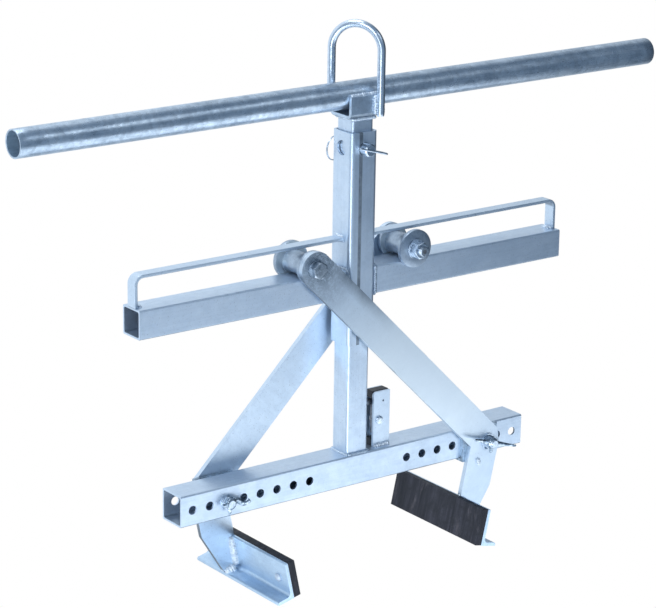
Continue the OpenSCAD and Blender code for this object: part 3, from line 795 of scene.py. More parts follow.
@dataclass(frozen=True)
class Bead:
    """A weld bead with the ripples of its passes.

    Attributes:
        radius: Half of the bead's width in metres.
        pitch: Distance between ripples in metres.
        ripple: Share by which a ripple stands out.
        lump: Share of slow unevenness.
        finish: Name of the finish.
    """

    radius: float = 0.0032
    pitch: float = 0.0026
    ripple: float = 0.20
    lump: float = 0.16
    finish: str = "weld"

    def lay(self, maker: Maker, name: str, corners: Sequence[Vector], body: str,
            closed: bool = False) -> None:
        """Lays the bead along a line of points.

        Args:
            maker: Places the piece.
            name: Name of the piece.
            corners: Corners of the seam in metres.
            body: The CAD body.
            closed: True when the seam runs round.
        """
        step = self.pitch / 6
        path: list[Vector] = []
        ends = [*corners, *corners[:1]] if closed else corners
        for a, b in zip(ends, ends[1:]):
            parts = max(2, int((b - a).length / step))
            path += [a.lerp(b, i / parts) for i in range(parts)]
        if not closed:
            path.append(ends[-1])
        last = len(path) - 1

        def radius(angle: float, index: int) -> float:
            """Gives the radius with ripples, lumps and drawn-in ends.

            Args:
                angle: Angle round the bead.
                index: Number of the point on the path.

            Returns:
                The radius in metres.
            """
            p = path[index]
            wave = abs(sin(pi * (index * step / self.pitch + 0.18 * sin(angle * 2))))
            slow = noise.noise(p * 180.0) + 0.6 * noise.noise(p * 520.0 + Vector((angle, 0, 3)))
            r = self.radius * (1.0 - self.ripple + self.ripple * 2 * wave + self.lump * slow)
            edge = 1.0 if closed else min(index, last - index) * step / self.radius
            return r * min(1.0, 0.35 + sqrt(min(1.0, edge)) * 0.65)

        maker.place(name, Maker.sweep(path, radius, 12, closed), self.finish, body, sharp=180.0)


class Fastener:
    """Shapes of bolts and nuts. Each adds to a mesh, on the axis of a place, in metres."""

    EDGE = 0.0003

    @staticmethod
    def thread(bm: Mesh, place: Matrix, radius: float, start: float, end: float, pitch: float) -> None:
        """Adds a threaded end with a chamfer.

        Args:
            bm: Mesh to add to.
            place: The bolt's frame.
            radius: Outer radius.
            start: Height where the thread starts.
            end: Height of the bolt's end.
            pitch: Thread pitch.
        """
        tip = 0.0009
        rows = max(6, int((end - start) / pitch * 8))
        profile = [(radius, start + (end - tip - start) * row / rows) for row in range(rows + 1)]

        def wobble(angle: float, height: float) -> float:
            """Cuts the thread.

            Args:
                angle: Angle round the bolt.
                height: Height on its axis.

            Returns:
                The share of the radius that is left.
            """
            if height > end - tip - 1e-9 or height < start + 1e-9:
                return 1.0 - 0.06
            phase = ((height - start) / pitch + angle / (2 * pi)) % 1.0
            return 1.0 - 0.12 * abs(2 * phase - 1)

        Maker.lathe([(0.0, start), *profile, (radius - tip, end), (0.0, end)], place, 64, bm, wobble)

    @staticmethod
    def hexagon(bm: Mesh, place: Matrix, flats: float, low: float, high: float, turn: float,
                both: bool = False) -> None:
        """Adds a hexagon with chamfered corners.

        Args:
            bm: Mesh to add to.
            place: The bolt's frame.
            flats: Width across the flats.
            low: Lower height.
            high: Upper height.
            turn: Turn about the axis in radians.
            both: True when both ends are chamfered.
        """
        half, drop = flats / 2, flats * 0.11

        def wobble(angle: float, height: float) -> float:
            """Gives the share of the radius between flats and corners."""
            near = ((angle + turn) % (pi / 3)) - pi / 6
            gap = min(high - height, height - low) if both else high - height
            return min(half / cos(near), half * 0.955 + gap * 1.75) / half

        levels = [low + (high - low) * i / 4 for i in range(5)]
        levels += [high - drop * i / 8 for i in range(8)]
        if both:
            levels += [low + drop * i / 8 for i in range(8)]
        levels = sorted(set(round(v, 7) for v in levels))
        Maker.lathe([(0.0, low), *((half, h) for h in levels)], place, 120, bm, wobble)
        top = high + 0.0001
        Maker.lathe([(half * 0.955, high), (half * 0.80, top), (0.0, top)], place, 120, bm)

    @classmethod
    def washer(cls, bm: Mesh, place: Matrix, radius: float, low: float, high: float) -> None:
        """Adds a washer."""
        e = cls.EDGE
        half = [(0, low), (radius - e, low), (radius, low + e)]
        Maker.lathe([*half, (radius, high - e), (radius - e, high), (0, high)], place, 72, bm)

    @staticmethod
    def rod(bm: Mesh, place: Matrix, radius: float, low: float, high: float, around: int = 48) -> None:
        """Adds a plain rod."""
        Maker.lathe([(0, low), (radius, low), (radius, high), (0, high)], place, around, bm)


@dataclass(frozen=True)
class Assembly:
    """A sub-assembly, which places its pieces through the maker."""

    maker: Maker


@dataclass(frozen=True)
class Tubes(Assembly):
    """Masts, crossbars, beam and post: drawn tubes with filed ends.

    Attributes:
        filed: Radius of the filed ends in metres.
        drawn: Radius of a level tube's outer long corners in the source.
        tight: The same radius as the photograph shows it.
    """

    filed: float = 0.0006
    drawn: float = 0.006
    tight: float = 0.0026
    FINISHES: ClassVar = {
        "outer_mast": "sleeve", "inner_mast": "tube_z", "post": "tube_z", "beam": "tube_x",
        "left_crossbar": "tube_x", "right_crossbar": "tube_x",
    }
    LEVEL: ClassVar = {"beam": (BEAM_Z, 0.025), "left_crossbar": (CROSSBAR_Z, 0.0225),
                       "right_crossbar": (CROSSBAR_Z, 0.0225)}

    def build(self) -> None:
        """Dresses each tube."""
        for node, finish in self.FINISHES.items():
            self.maker.dress(node, finish, self.filed, 2, shape=self._sharpen(node))

    def _sharpen(self, node: str) -> Callable[[Mesh], None] | None:
        """Gives the step that sharpens a level tube's four long corners.

        Args:
            node: The tube's node.

        Returns:
            The step, or None for the masts.
        """
        if node not in self.LEVEL:
            return None
        height, half = self.LEVEL[node]
        middle, old, new = at(0, 0, height).z, self.drawn, self.tight

        def sharpen(bm: Mesh) -> None:
            """Moves each point of a corner from the old radius to the new one.

            Args:
                bm: The tube's mesh.
            """
            for vert in bm.verts:
                y, z = vert.co.y, vert.co.z - middle
                dy, dz = abs(y) - half + old, abs(z) - half + old
                if min(dy, dz) > -1e-6 and abs(hypot(dy, dz) - old) < 2e-4:
                    vert.co.y = copysign(half - new + dy * new / old, y)
                    vert.co.z = middle + copysign(half - new + dz * new / old, z)

        return sharpen


@dataclass(frozen=True)
class Handle(Assembly):
    """Round handle tube, its saddle and the lifting loop.

    Attributes:
        radius: Radius of the tube in metres.
        wall: Its wall in metres.
        half: Half of its length in metres.
        chamfer: Chamfer of its rims in metres.
        height: Height of its axis in millimetres.
        loop_bar: Radius of the loop's bar in metres.
        loop_radius: Radius of the loop's bend in millimetres.
        loop_foot: Height of the loop's lower ends in millimetres.
        loop_top: Height of the loop's top in millimetres.
        loop_turn: Turn of the loop about Z in radians.
    """

    radius: float = 0.0212
    wall: float = 0.0026
    half: float = 0.5925
    chamfer: float = 0.0005
    height: float = 745.0
    loop_bar: float = 0.00625
    loop_radius: float = 39.703
    loop_foot: float = 714.0
    loop_top: float = 858.5
    loop_turn: float = -0.98350

    def build(self) -> None:
        """Makes the pieces."""
        self._tube()
        self.maker.dress("handle_saddle", "saddle", 0.0009, 3)
        self._loop()
        self._welds()

    def _tube(self) -> None:
        """Turns the tube with chamfered rims, and the skin of its bore."""
        place = Matrix.Translation(at(0, 0, self.height)) @ Matrix.Rotation(pi / 2, 4, "Y")
        r, w, h, c = self.radius, self.wall, self.half, self.chamfer
        outer = [(r - c, -h), (r - c * 0.3, -h + c * 0.3), (r, -h + c)]
        outer += [(r, -h + c + (2 * h - 2 * c) * i / 60) for i in range(1, 61)]
        outer += [(r - c * 0.3, h - c * 0.3), (r - c, h), (r - w + c, h), (r - w, h - c)]
        outer += [(r - w, -h + c), (r - w + c, -h), (r - c, -h)]
        bm = Maker.lathe(outer, place, 128)
        bmesh.ops.remove_doubles(bm, verts=bm.verts, dist=1e-7)
        self.maker.skin("handle_tube", bm, "handle")
        lining = [(r - w - 0.00005, -h + 0.0006 + (2 * h - 0.0012) * i / 60) for i in range(61)]
        self.maker.place("handle_tube_bore", Maker.lathe(lining, place, 128), "bore", UPPER)

    def _loop(self) -> None:
        """Sweeps the bar up one leg, round the bend and down the other leg."""
        r, low = self.loop_radius, self.loop_foot
        mid = self.loop_top - self.loop_bar * 1000 - r
        line = [(r, low + (mid - low) * i / 40) for i in range(40)]
        line += [(r * cos(pi * i / 72), mid + r * sin(pi * i / 72)) for i in range(73)]
        line += [(-r, mid - (mid - low) * i / 40) for i in range(1, 41)]
        turn = Matrix.Rotation(self.loop_turn, 4, "Z")
        path = [turn @ at(x, 0, z) for x, z in line]
        count = len(path)

        def radius(_: float, index: int) -> float:
            """Rounds the ends and wears the bend a little."""
            edge = min(index, count - 1 - index)
            rub = 0.985 if abs(index - count / 2) < 12 else 1.0
            return self.loop_bar * rub * (0.86 if edge == 0 else 0.97 if edge == 1 else 1.0)

        self.maker.skin("lifting_loop", Maker.sweep(path, radius, 32), "loop")

    def _welds(self) -> None:
        """Welds the saddle to the tube, the loop to the saddle and the saddle to the post."""
        top, leg = Bead(0.0032, 0.0040, 0.20, 0.32), Bead(0.0044, 0.0042, 0.24, 0.32)
        for side in Side:
            s = side.value
            ends = [at(x, -s * 23.2, 747.6) for x in (-27, 27)]
            top.lay(self.maker, f"weld_saddle_{side.tag}", ends, UPPER)
            for letter, x in (("a", 16.4), ("b", 27.2)):
                ends = [at(s * x, -s * 28.2, z) for z in (716, 746)]
                leg.lay(self.maker, f"weld_loop_{side.tag}_{letter}", ends, UPPER)
        post = [at(20.6 * x, 20.6 * y, 710.6) for x, y in ((-1, -1), (1, -1), (1, 1), (-1, 1))]
        Bead(0.0026, 0.0030).lay(self.maker, "weld_post", post, UPPER, True)


@dataclass(frozen=True)
class Guards(Assembly):
    """Flat bars over the rollers, and the crossbars' welds.

    Attributes:
        seams: For each weld of a guard its bead, distance from the mast, half length and height.
        ring: Corners of the weld round a crossbar's end.
        ring_x: Its distance from the mast's middle.
    """

    seams: ClassVar = {
        "top": (Bead(0.0028), 25.6, 9.5, 526.4),
        "under": (Bead(0.0026), 25.6, 9.5, 520.6),
        "foot": (Bead(0.0026), 396.4, 9.6, 477.0),
        "inner": (Bead(0.0020, 0.0030, 0.20, 0.34), 390.6, 8.5, 477.2),
    }
    ring: ClassVar = ((-20, 431.0), (20, 431.0), (22.9, 434.0), (22.9, 474.0), (20, 477.0), (-20, 477.0),
                      (-22.9, 474.0), (-22.9, 434.0))
    ring_x: float = 26.2

    def build(self) -> None:
        """Makes the pieces."""
        for side in Side:
            s = side.value
            self.maker.dress(f"{side.jaw_hand}_guard", "flat_x", 0.0008, 3, 25.0)
            for word, (bead, x, y, z) in self.seams.items():
                ends = [at(s * x, -y, z), at(s * x, y, z)]
                bead.lay(self.maker, f"weld_guard_{word}_{side.tag}", ends, UPPER)
            corners = [at(s * self.ring_x, y, z) for y, z in self.ring]
            bead = Bead(0.0027, 0.0034, 0.10, 0.22, "roller")
            bead.lay(self.maker, f"weld_crossbar_{side.tag}", corners, UPPER, True)


@dataclass(frozen=True)
class Pin(Assembly):
    """Locking pin with its clip and split ring.

    Attributes:
        height: Height of the pin's axis in millimetres.
        tilt: Tilt of the clip in degrees.
        hang: Angle in degrees by which the ring hangs askew.
        swing: Turn of the ring about Z in degrees.
        wire: Radius of the clip's wire in metres.
        ring_wire: Radius of the ring's wire in metres.
    """

    height: float = 664.5
    tilt: float = 16.0
    hang: float = 25.0
    swing: float = 17.0
    wire: float = 0.0016
    ring_wire: float = 0.00072

    def build(self) -> None:
        """Makes the pieces."""
        self.maker.dress("locking_pin", "bright", 0.0005, 2)
        self._clip()
        self._ring()

    def _clip(self) -> None:
        """Bends the clip's wire: outer leg, bow and inner leg."""
        turn = Matrix.Rotation(radians(self.tilt), 4, "Y")
        home = at(0, -34, self.height)
        flat = [(x, -9.4) for x in np.linspace(-24.0, 27.0, 28)]
        flat += [(27.0 + 4.7 * sin(a), -4.7 - 4.7 * cos(a)) for a in np.linspace(0.12, pi, 18)]
        flat += [(x, 0.0) for x in np.linspace(25.5, -13.0, 20)]
        path = [home + turn @ (Vector((x, y, 0)) / 1000) for x, y in flat]
        ends = (0, len(path) - 1)
        bm = Maker.sweep(path, lambda _, i: self.wire * (0.8 if i in ends else 1.0), 14)
        self.maker.skin("pin_clip", bm, "bright")

    def _ring(self) -> None:
        """Winds the ring's two turns."""
        home = at(0, 36, self.height)
        turn = Matrix.Rotation(radians(self.swing), 4, "Z") @ Matrix.Rotation(radians(-self.hang), 4, "Y")
        path = []
        for index in range(181):
            a = 4 * pi * index / 180 + pi * 0.5
            slip = 0.7 * tanh((index - 90) / 10)
            path.append(home + turn @ (Vector((-18.5 + 18.3 * cos(a), slip, 18.3 * sin(a))) / 1000))
        self.maker.skin("pin_ring", Maker.sweep(path, lambda _, i: self.ring_wire, 10), "bright")


@dataclass(frozen=True)
class Roller(Assembly):
    """Spool roller with bush, bolt, washer and nut.

    Attributes:
        side: Which arm carries it.
        x: Distance from the mast in millimetres, before the turn.
        z: Height of the axis in millimetres.
        near_rim: Radius of the disc beside the arm in millimetres.
        free_rim: Radius of the free disc in millimetres.
        barrel: Radius of the barrel in millimetres.
    """

    side: Side
    x: float = -98.0
    z: float = 494.3
    near_rim: float = 26.5
    free_rim: float = 30.0
    barrel: float = 17.5

    def build(self) -> None:
        """Makes the pieces."""
        hand = self.side.roller_hand
        base = self.side.turn @ along_y(self.x, 0, self.z)
        profile = [(r / 1000, -h / 1000) for r, h in reversed(self._half(self.near_rim))]
        profile += [(r / 1000, h / 1000) for r, h in self._half(self.free_rim)[1:]]
        bm = Maker.lathe([*profile, profile[0]], base, 112)
        bmesh.ops.remove_doubles(bm, verts=bm.verts, dist=1e-7)
        self.maker.skin(f"{hand}_roller", bm, "roller")
        self.maker.dress(f"{hand}_bush", "brass", 0.0003, 1)
        self._bolt(f"{hand}_roller_bolt", base)
        nut = bmesh.new()
        Fastener.washer(nut, base, 0.0160, 0.0320, 0.0350)
        Fastener.hexagon(nut, base, 0.0240, 0.0350, 0.0480, 0.9, True)
        self.maker.skin(f"{hand}_roller_nut", nut, "bright")
        # Painted shade: a dark dull disc in the centre dimple of the bolt's end.
        spot = Maker.lathe([(0, 0.05385), (0.0024, 0.05385), (0.0033, 0.05400), (0.0036, 0.05392)], base, 40)
        self.maker.place(f"{hand}_roller_bolt_mark", spot, "dull", self.side.arm)

    def _half(self, rim: float) -> list[tuple[float, float]]:
        """Gives one half's section from the barrel's middle to the bore, in millimetres.

        Args:
            rim: Radius of the disc.

        Returns:
            Pairs of radius and distance from the middle.
        """
        r = self.barrel
        section = [(r, 0.0), (r, 22.4)]
        section += [(r + 1.6 * (1 - cos(a)), 22.4 + 1.6 * sin(a)) for a in np.linspace(0.2, pi / 2, 6)]
        section += [(rim - 1.1, 24.0), (rim - 0.3, 24.3), (rim, 25.0), (rim, 30.8), (rim - 0.3, 31.5)]
        return section + [(rim - 1.1, 31.8), (16.2, 31.8), (15.6, 31.2), (11.4, 31.2), (10.05, 31.8)]

    def _bolt(self, node: str, base: Matrix) -> None:
        """Turns the bolt with its washer, marked head and thread.

        Args:
            node: The bolt's node.
            base: Frame of the axis.
        """
        bolt = Maker.lathe([(0, -0.0425), (0.0148, -0.0425), (0.0150, -0.0422), (0.0150, -0.0402),
                            (0.0148, -0.040), (0, -0.040)], base, 72)
        head = base @ Matrix.Rotation(pi, 4, "X")
        Fastener.hexagon(bolt, head, 0.0240, 0.0425, 0.0517, 0.35)
        Maker.lathe([(0, 0.0518), (0.0062, 0.0518), (0.0068, 0.0521), (0.0068, 0.0523), (0.006, 0.05235),
                     (0, 0.0521)], head, 64, bolt)
        Fastener.rod(bolt, base, 0.008, -0.040, 0.032)
        Fastener.thread(bolt, base, 0.0079, 0.0320, 0.0538, 0.0020)
        self.maker.skin(node, bolt, "head")


@dataclass(frozen=True)
class Arm(Assembly):
    """Arm plate with its jaw, pad, screws and welds.

    Attributes:
        side: The front arm carries the right jaw, the rear arm the left one.
        lean: Lean of shank and jaw in degrees.
        thick: Thickness of the jaw's angle section in millimetres.
        high: Height of its upright leg.
        foot: Width of its lower leg.
        back: Place of its back in the jaw frame.
        low: Place of its underside.
        half: Half of its length in metres.
        screw_y: Distance of a pad screw from the jaw's middle in millimetres.
    """

    side: Side
    lean: float = 12.5
    thick: float = 5.5
    high: float = 61.0
    foot: float = 30.0
    back: float = -34.0
    low: float = -154.5
    half: float = 0.110
    screw_y: float = 85

    @property
    def hand(self) -> str:
        """Hand of the jaw."""
        return self.side.jaw_hand

    @property
    def jaw(self) -> Matrix:
        """Frame of the jaw: X outwards, Y to the back and Z upwards, from the pivot."""
        pivot = Matrix.Translation(at(PIVOT_X, 0, BEAM_Z))
        return self.side.turn @ pivot @ Matrix.Rotation(radians(self.lean), 4, "Y")

    def build(self) -> None:
        """Makes the pieces."""
        self.maker.dress(self.side.arm, self.side.arm, 0.0006, 2, 20.0)
        self._angle()
        self.maker.dress(f"{self.hand}_pad", f"rubber_{self.hand}", 0.0012, 3)
        self._screws()
        self._welds()

    def _angle(self) -> None:
        """Draws the jaw's rolled angle section."""
        t, u, v = self.thick, self.back, self.low
        outline = [(u + 0.9, v), (u + self.foot - 0.6, v), (u + self.foot, v + 0.6)]
        outline += arc(2.6, 0, 90, 5, (u + self.foot - 2.6, v + t - 2.6))
        outline += reversed(arc(6.0, 180, 270, 8, (u + t + 6.0, v + t + 6.0)))
        outline += arc(2.6, 0, 90, 5, (u + t - 2.6, v + self.high - 2.6))
        outline += [(u + 0.6, v + self.high), (u, v + self.high - 0.6), (u, v + 0.9)]
        place = self.jaw @ Matrix.Rotation(pi / 2, 4, "X")
        bm = Maker.solid([(x / 1000, z / 1000) for x, z in outline], (-self.half, self.half), place)
        rims = [e for e in bm.edges if max(len(f.verts) for f in e.link_faces) > 8]
        bmesh.ops.bevel(bm, geom=rims, offset=0.0005, segments=2, profile=0.6, affect="EDGES",
                        clamp_overlap=True)
        Maker.fan(bm)
        self.maker.skin(f"{self.hand}_jaw", bm, "angle")

    def _screws(self) -> None:
        """Turns the pad's two round screw heads."""
        bm = bmesh.new()
        for s in (-1, 1):
            place = self.jaw @ Matrix.Translation(Vector((-28.5, s * self.screw_y, -124.0)) / 1000)
            place = place @ Matrix.Rotation(pi / 2, 4, "Y")
            Maker.lathe([(0, -0.0005), (0.0070, -0.0005), (0.0070, 0.0012), (0.0066, 0.0024),
                         (0.0052, 0.0036), (0.0030, 0.0043), (0, 0.0045)], place, 40, bm)
            Fastener.rod(bm, place, 0.003, -0.012, 0, 24)
        self.maker.skin(f"{self.hand}_pad_screws", bm, "rivet")

    def _here(self, u: float, y: float, w: float) -> Vector:
        """Gives a point of the jaw frame from millimetres."""
        return self.jaw @ (Vector((u, y, w)) / 1000)

    def _welds(self) -> None:
        """Welds the jaw to the arm."""
        thick, thin = Bead(0.0066, 0.0040, 0.10, 0.34, "bead"), Bead(0.0044, 0.0040, 0.14, 0.30, "bead")
        far = thick if self.side is Side.REAR else thin
        seams = {}
        for word, y, bead in (("near", -41.2, thick), ("far", -30.8, far)):
            leg, foot = f"{self.hand}_leg_{word}", f"{self.hand}_foot_{word}"
            seams[leg] = (bead, self._here(-27.2, y, -95.0), self._here(-27.2, y, -143))
            seams[foot] = (bead, self._here(-23.5, y, -147.2), self._here(-5, y, -147.2))
        if self.side is Side.FRONT:
            spot = Bead(0.0038, 0.0042, 0.20, 0.40, "bead")
            seams["shank_spot"] = (spot, at(229.5, -40.6, 125), at(231.5, -40.6, 113))
        seams[f"{self.hand}_top"] = (thin, self._here(-31.0, -39.5, -93.0), self._here(-31.0, -32.5, -93.0))
        for name, (bead, *ends) in seams.items():
            bead.lay(self.maker, f"weld_{name}", ends, self.side.arm)


@dataclass(frozen=True)
class Wing:
    """Bent lever of a wing nut, in millimetres; the tip's radius is in metres.

    Attributes:
        reach: Length of the long wing.
        flare: How far its tip bends away from the beam.
        droop: How far its tip hangs.
        wave: Height of its bends.
        tip: Radius of its tip.
        second: Length of the thin wing on the other side, or 0 for a short lobe.
        washer: Radius of the washer.
    """

    reach: float
    flare: float
    droop: float
    wave: float
    tip: float
    second: float
    washer: float


@dataclass(frozen=True)
class Pivots(Assembly):
    """Pivot bolts, wing nuts and shoes at the beam.

    Attributes:
        front: Wing nut of the front arm.
        rear: Wing nut of the rear arm.
        stub: Length of a bolt's threaded end in metres.
    """

    front: Wing = Wing(44.0, 9.0, 12.0, 0.0, 0.0022, 40.0, 13.5)
    rear: Wing = Wing(33.0, 4.0, 0.0, 3.6, 0.0042, 0.0, 10.5)
    stub: float = 0.022

    def build(self) -> None:
        """Makes the pieces."""
        for side in Side:
            self.maker.dress(f"{side.tag}_shoe", "shoe", 0.0007, 2)
        self._bolt("front_pivot_bolt", PIVOT_X, 0.0250, -0.059)
        self._bolt("rear_pivot_bolt", -PIVOT_X, 0.0401, -0.040)
        self._wing("front_wing_nut", PIVOT_X, -40.1, self.front)
        self._wing("rear_wing_nut", -PIVOT_X, -25.0, self.rear)

    def _bolt(self, node: str, x: float, head: float, end: float) -> None:
        """Turns a pivot bolt.

        Args:
            node: The bolt's node.
            x: Its place along the beam in millimetres.
            head: Where its head bears, in metres from the beam's middle.
            end: Where it ends, in metres.
        """
        base = along_y(x, 0, BEAM_Z)
        bm = bmesh.new()
        Fastener.washer(bm, base, 0.0135, head, head + 0.0024)
        Fastener.hexagon(bm, base, 0.021, head + 0.0024, head + 0.0108, 0.5)
        Fastener.rod(bm, base, 0.00695, head, end + self.stub)
        flip = base @ Matrix.Rotation(pi, 4, "X")
        Fastener.thread(bm, flip, 0.0069, -end - self.stub, -end, 0.0018)
        self.maker.skin(node, bm, "bright")

    def _wing(self, node: str, x: float, face: float, wing: Wing) -> None:
        """Casts a wing nut in one with its levers, and lays its washer.

        Args:
            node: The wing nut's node.
            x: Its place along the beam in millimetres.
            face: Where its washer bears, in millimetres from the beam's middle.
            wing: Its sizes.
        """
        base = along_y(x, face, BEAM_Z, -1.0)
        bm = Maker.lathe([(0, 0.0060), (0.0090, 0.0060), (0.0092, 0.0080), (0.0090, 0.0130), (0.0078, 0.0146),
                          (0.0066, 0.0149), (0, 0.0149)], base, 64)
        self._levers(bm, x, face - 9.0, wing)
        bmesh.ops.recalc_face_normals(bm, faces=bm.faces)
        mesh = bpy.data.meshes.new("wing")
        bm.to_mesh(mesh)
        bm.free()
        rough = bpy.data.objects.new("wing", mesh)
        bpy.context.scene.collection.objects.link(rough)
        melt = rough.modifiers.new("melt", "REMESH")
        melt.mode = "VOXEL"
        melt.voxel_size = 0.0007
        ease = rough.modifiers.new("ease", "SMOOTH")
        ease.iterations = 7
        ease.factor = 0.6
        cast = bmesh.new()
        cast.from_mesh(Maker.baked(rough))
        bpy.data.objects.remove(rough)
        self.maker.skin(node, cast, "cast", 180.0)
        washer = bmesh.new()
        Fastener.washer(washer, base, wing.washer / 1000, 0, 0.0024)
        Fastener.hexagon(washer, base, 0.0190, 0.0024, 0.0075, 0.2)
        self.maker.place(node + "_washer", washer, "bright", LOWER)

    @staticmethod
    def _levers(bm: Mesh, x: float, mid: float, wing: Wing) -> None:
        """Adds the long wing, the second wing or lobe, and the lower lobe.

        Args:
            bm: The nut's mesh.
            x: Its place along the beam in millimetres.
            mid: Middle of the levers on Y in millimetres.
            wing: Its sizes.
        """
        def long(_: float, i: int) -> float:
            """Radius of the long wing."""
            return (wing.tip + (0.0062 - wing.tip) * (1 - i / 32) ** 1.6) * (0.75 if i == 32 else 1.0)

        path = []
        for t in (i / 32 for i in range(33)):
            drop = wing.wave * sin(2 * pi * t) - wing.droop * t ** 0.8
            path.append(at(x + 1 + wing.reach * t, mid - wing.flare * t * t, BEAM_Z + drop))
        Maker.sweep(path, long, 20, False, bm, 0.62)
        if wing.second:
            path = [at(x - wing.second * t, mid - 6 * t ** 2, BEAM_Z + 14 * t) for t in np.linspace(0, 1, 21)]
            Maker.sweep(path, lambda _, i: 0.0052 - 0.0030 * (i / 20) ** 0.7, 16, False, bm, 0.45)
        else:
            path = [at(x - 1.3 * i, mid, BEAM_Z - 0.2 * i) for i in range(11)]
            Maker.sweep(path, lambda _, i: 0.0056 - 0.0002 * i, 16, False, bm, 0.6)
        path = [at(x - 0.03 * i, mid + 0.3, BEAM_Z - 1.75 * i) for i in range(11)]
        Maker.sweep(path, lambda _, i: 0.0054 - 0.00022 * i - (0.0011 if i == 10 else 0), 20, False, bm, 0.6)


@dataclass(frozen=True)
class Latch(Assembly):
    """Latch on the beam: cheeks, hook, pin, spring and black blocks.

    Attributes:
        x: Place of the pin's axis along the beam in millimetres.
        z: Its height in millimetres.
        coil: Radius of the spring's coils in millimetres.
        wire: Radius of its wire in metres.
        corner: Radius of the cheeks' upper corner in metres.
    """

    x: float = 48
    z: float = 218
    coil: float = 5.3
    wire: float = 0.0006
    corner: float = 0.0052

    def build(self) -> None:
        """Makes the pieces."""
        self.maker.dress("latch_cheeks", "plate", 0.0008, 3, corner=self._rounded)
        self.maker.dress("latch_cap", "plastic", 0.0011, 3)
        self.maker.dress("latch_stop", "plastic", 0.0009, 2)
        self.maker.dress("latch_hook", "dull", 0.0007, 2)
        bm = Maker.lathe([(0, -0.0140), (0.0050, -0.0140), (0.0055, -0.0134), (0.0055, -0.0121),
                          (0.004, -0.0121), (0.004, 0.0120), (0.0066, 0.0120), (0.0067, 0.0124),
                          (0.0067, 0.0141), (0.0062, 0.0148), (0.0052, 0.0150), (0, 0.0150)],
                         along_y(self.x, 0, self.z, -1.0), 64)
        self.maker.skin("latch_pin", bm, "bright")
        self._spring()
        for word, y in (("near", -12.4), ("far", 12.4)):
            bead = Bead(0.0036, 0.0040, 0.24, 0.36, "bead")
            bead.lay(self.maker, f"weld_latch_{word}", [at(38, y, 175.6), at(68, y, 175.6)], LOWER)

    def _rounded(self, edge: bmesh.types.BMEdge) -> float:
        """Gives the radius of a cheek's upper corner on the mast's side.

        Args:
            edge: An edge of the cheeks.

        Returns:
            The radius in metres, or 0 for other edges.
        """
        a, b = (v.co for v in edge.verts)
        across = abs(a.y - b.y) > 0.002 and abs(a.x - b.x) < 1e-4 and abs(a.z - b.z) < 1e-4
        return self.corner if across and a.x < at(42, 0, 0).x and a.z > at(0, 0, 240).z else 0.0

    def _spring(self) -> None:
        """Winds both coils round the pin, each with a straight leg."""
        bm = bmesh.new()
        for s in (-1, 1):
            path = [at(42.7, s * 4.4, 187.5 + 2.0 * i) for i in range(15)]
            for t in (i / 96 for i in range(97)):
                a = pi + 4 * pi * t
                x, z = self.x + self.coil * cos(a), self.z + self.coil * sin(a)
                path.append(at(x, s * (4.4 + 1.5 * t), z))
            Maker.sweep(path, lambda _, i: self.wire, 8, False, bm)
        self.maker.skin("latch_spring", bm, "bright")


@dataclass(frozen=True)
class Foot(Assembly):
    """Weld round the inner mast's foot.

    Attributes:
        corner: The weld's corner over +X and +Y, in millimetres from the mast's middle.
        height: Height of the weld in millimetres.
    """

    corner: ClassVar = ((21.4, 16), (20.2, 19.8), (16, 21.4))
    height: float = 175.4

    def build(self) -> None:
        """Lays the bead round the four corners, from the front left one."""
        ring = []
        for sx, sy in ((-1, -1), (1, -1), (1, 1), (-1, 1)):
            points = [(sx * x, sy * y) for x, y in self.corner]
            ring += points if sx == sy else reversed(points)
        ring = ring[2:] + ring[:2]
        Bead(0.0022, 0.0034, 0.12, 0.22, "plate").lay(
            self.maker, "weld_mast_foot", [at(x, y, self.height) for x, y in ring], LOWER, True)


@dataclass(frozen=True)
class Camera:
    """Camera of the photograph.

    Attributes:
        azimuth: Turn to the left of the front in degrees.
        elevation: Height of the view in degrees.
        roll: Roll in degrees.
        distance: Distance to the target in metres.
        focal: Focal length in pixels.
        wide: Width of the picture in pixels.
        sensor: Width of the sensor in millimetres.
        across: Target's offset to the right in millimetres.
        height: Target's height in millimetres.
    """

    azimuth: float = 36.75
    elevation: float = 17.02
    roll: float = 0.88
    distance: float = 4.0969
    focal: float = 2656.0
    wide: float = 656.0
    sensor: float = 36.0
    across: float = -37.1
    height: float = 412.9

    def build(self) -> None:
        """Places the camera."""
        a, e, r = (radians(v) for v in (-self.azimuth, self.elevation, self.roll))
        back = Vector((sin(a) * cos(e), -cos(a) * cos(e), sin(e)))
        level = Vector((cos(a), sin(a), 0.0))
        rise = back.cross(level)
        right = level * cos(r) + rise * sin(r)
        up = rise * cos(r) - level * sin(r)
        spot = level * (self.across / 1000) + at(0, 0, self.height) + back * self.distance
        data = bpy.data.cameras.new("photo_camera")
        data.sensor_width = self.sensor
        data.lens = self.focal / self.wide * self.sensor
        data.clip_end = 60.0
        obj = bpy.data.objects.new("photo_camera", data)
        obj.matrix_world = Matrix.Translation(spot) @ Matrix((right, up, back)).transposed().to_4x4()
        bpy.context.scene.collection.objects.link(obj)
        bpy.context.scene.camera = obj


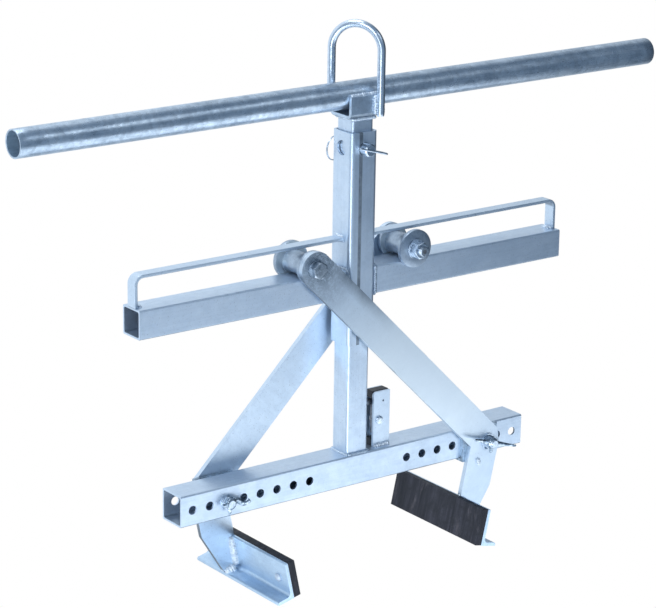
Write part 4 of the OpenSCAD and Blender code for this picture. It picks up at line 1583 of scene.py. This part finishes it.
@dataclass(frozen=True)
class Softbox:
    """A rectangular studio light.

    Attributes:
        name: Name of the light.
        spot: Position in metres.
        aim: Point it faces.
        size: Width and height in metres.
        power: Power in watts.
        tint: Colour.
    """

    name: str
    spot: tuple[float, float, float]
    aim: tuple[float, float, float]
    size: tuple[float, float]
    power: float
    tint: RGB

    def build(self) -> None:
        """Places the light."""
        data = bpy.data.lights.new(self.name, "AREA")
        data.shape = "RECTANGLE"
        data.size, data.size_y = self.size
        data.energy = self.power
        data.color = self.tint
        obj = bpy.data.objects.new(self.name, data)
        turn = (Vector(self.aim) - Vector(self.spot)).to_track_quat("-Z", "Y").to_matrix().to_4x4()
        obj.matrix_world = Matrix.Translation(Vector(self.spot)) @ turn
        obj.visible_camera = False
        bpy.context.scene.collection.objects.link(obj)


class Studio:
    """White sweep under and behind the object, in a darker blue room."""

    ICE: RGB = (0.88, 0.945, 1.0)
    COOL: RGB = (0.90, 0.96, 1.0)
    DAY: RGB = (0.93, 0.97, 1.0)
    BOXES = (
        Softbox("floor_front", (-0.45, -0.66, -1.0), (-0.45, -0.66, 0), (2.9, 1.36), 16.0, ICE),
        Softbox("key_left", (-2.6, -1.6, 1.1), (0, 0, -0.35), (1.0, 1.6), 26.0, DAY),
        Softbox("strip_left", (-2.25, -1.68, -1.00), (0, 0, -0.35), (1.0, 1.5), 15.0, COOL),
        Softbox("front_high", (1.0, -2.0, 1.45), (0, 0, -0.2), (1.5, 0.8), 5.0, COOL),
        Softbox("back_right", (1.9, 2.3, 1.2), (0, 0, -0.2), (2.2, 1.2), 0.8, COOL),
        Softbox("top", (-0.6, 0.5, 2.2), (0, 0, -0.4), (1.6, 1.2), 21.0, DAY),
    )
    BACK: RGB = (0.83, 0.93, 1.03)
    ROOM: RGB = (0.182, 0.260, 0.360)
    WHITE: RGB = (1.0, 1.0, 1.0)

    def build(self) -> None:
        """Sets world and lights."""
        scene = bpy.context.scene
        scene.view_settings.view_transform = "Standard"
        scene.world = bpy.data.worlds.new("studio")
        g = Graph(scene.world, "World")
        x, y, z = g.split(g.add("TexCoord", out="Generated"))
        room = g.blend(y.span(-0.05, 0.45, kind="SMOOTHSTEP"), self.ROOM, self.BACK)
        lit = g.add("Background", room, z.span(-0.80, -0.42, 0.80) * x.span(0.42, 0.95, 1.0, 0.12))
        seen = g.add("Background", self.WHITE)
        g.put(g.output.inputs[0], g.add("MixShader", g.add("LightPath", out="Is Camera Ray"), lit, seen))
        for box in self.BOXES:
            box.build()


class LiftingTongs:
    """The whole object."""

    def __init__(self) -> None:
        """Names the sub-assemblies."""
        self.maker = Maker(Finishes())
        self.parts = [kind(self.maker) for kind in (Tubes, Handle, Guards, Pin)]
        self.parts += [kind(self.maker, side) for kind in (Roller, Arm) for side in Side]
        self.parts += [kind(self.maker) for kind in (Pivots, Latch, Foot)]

    def build(self) -> None:
        """Builds and dresses every sub-assembly."""
        for part in self.parts:
            LOG.info("building %s", type(part).__name__)
            part.build()
        LOG.info("%d pieces", self.maker.count)


def main() -> None:
    """Builds the object and its studio."""
    LiftingTongs().build()
    Camera().build()
    Studio().build()


if __name__ == "__main__":
    main()
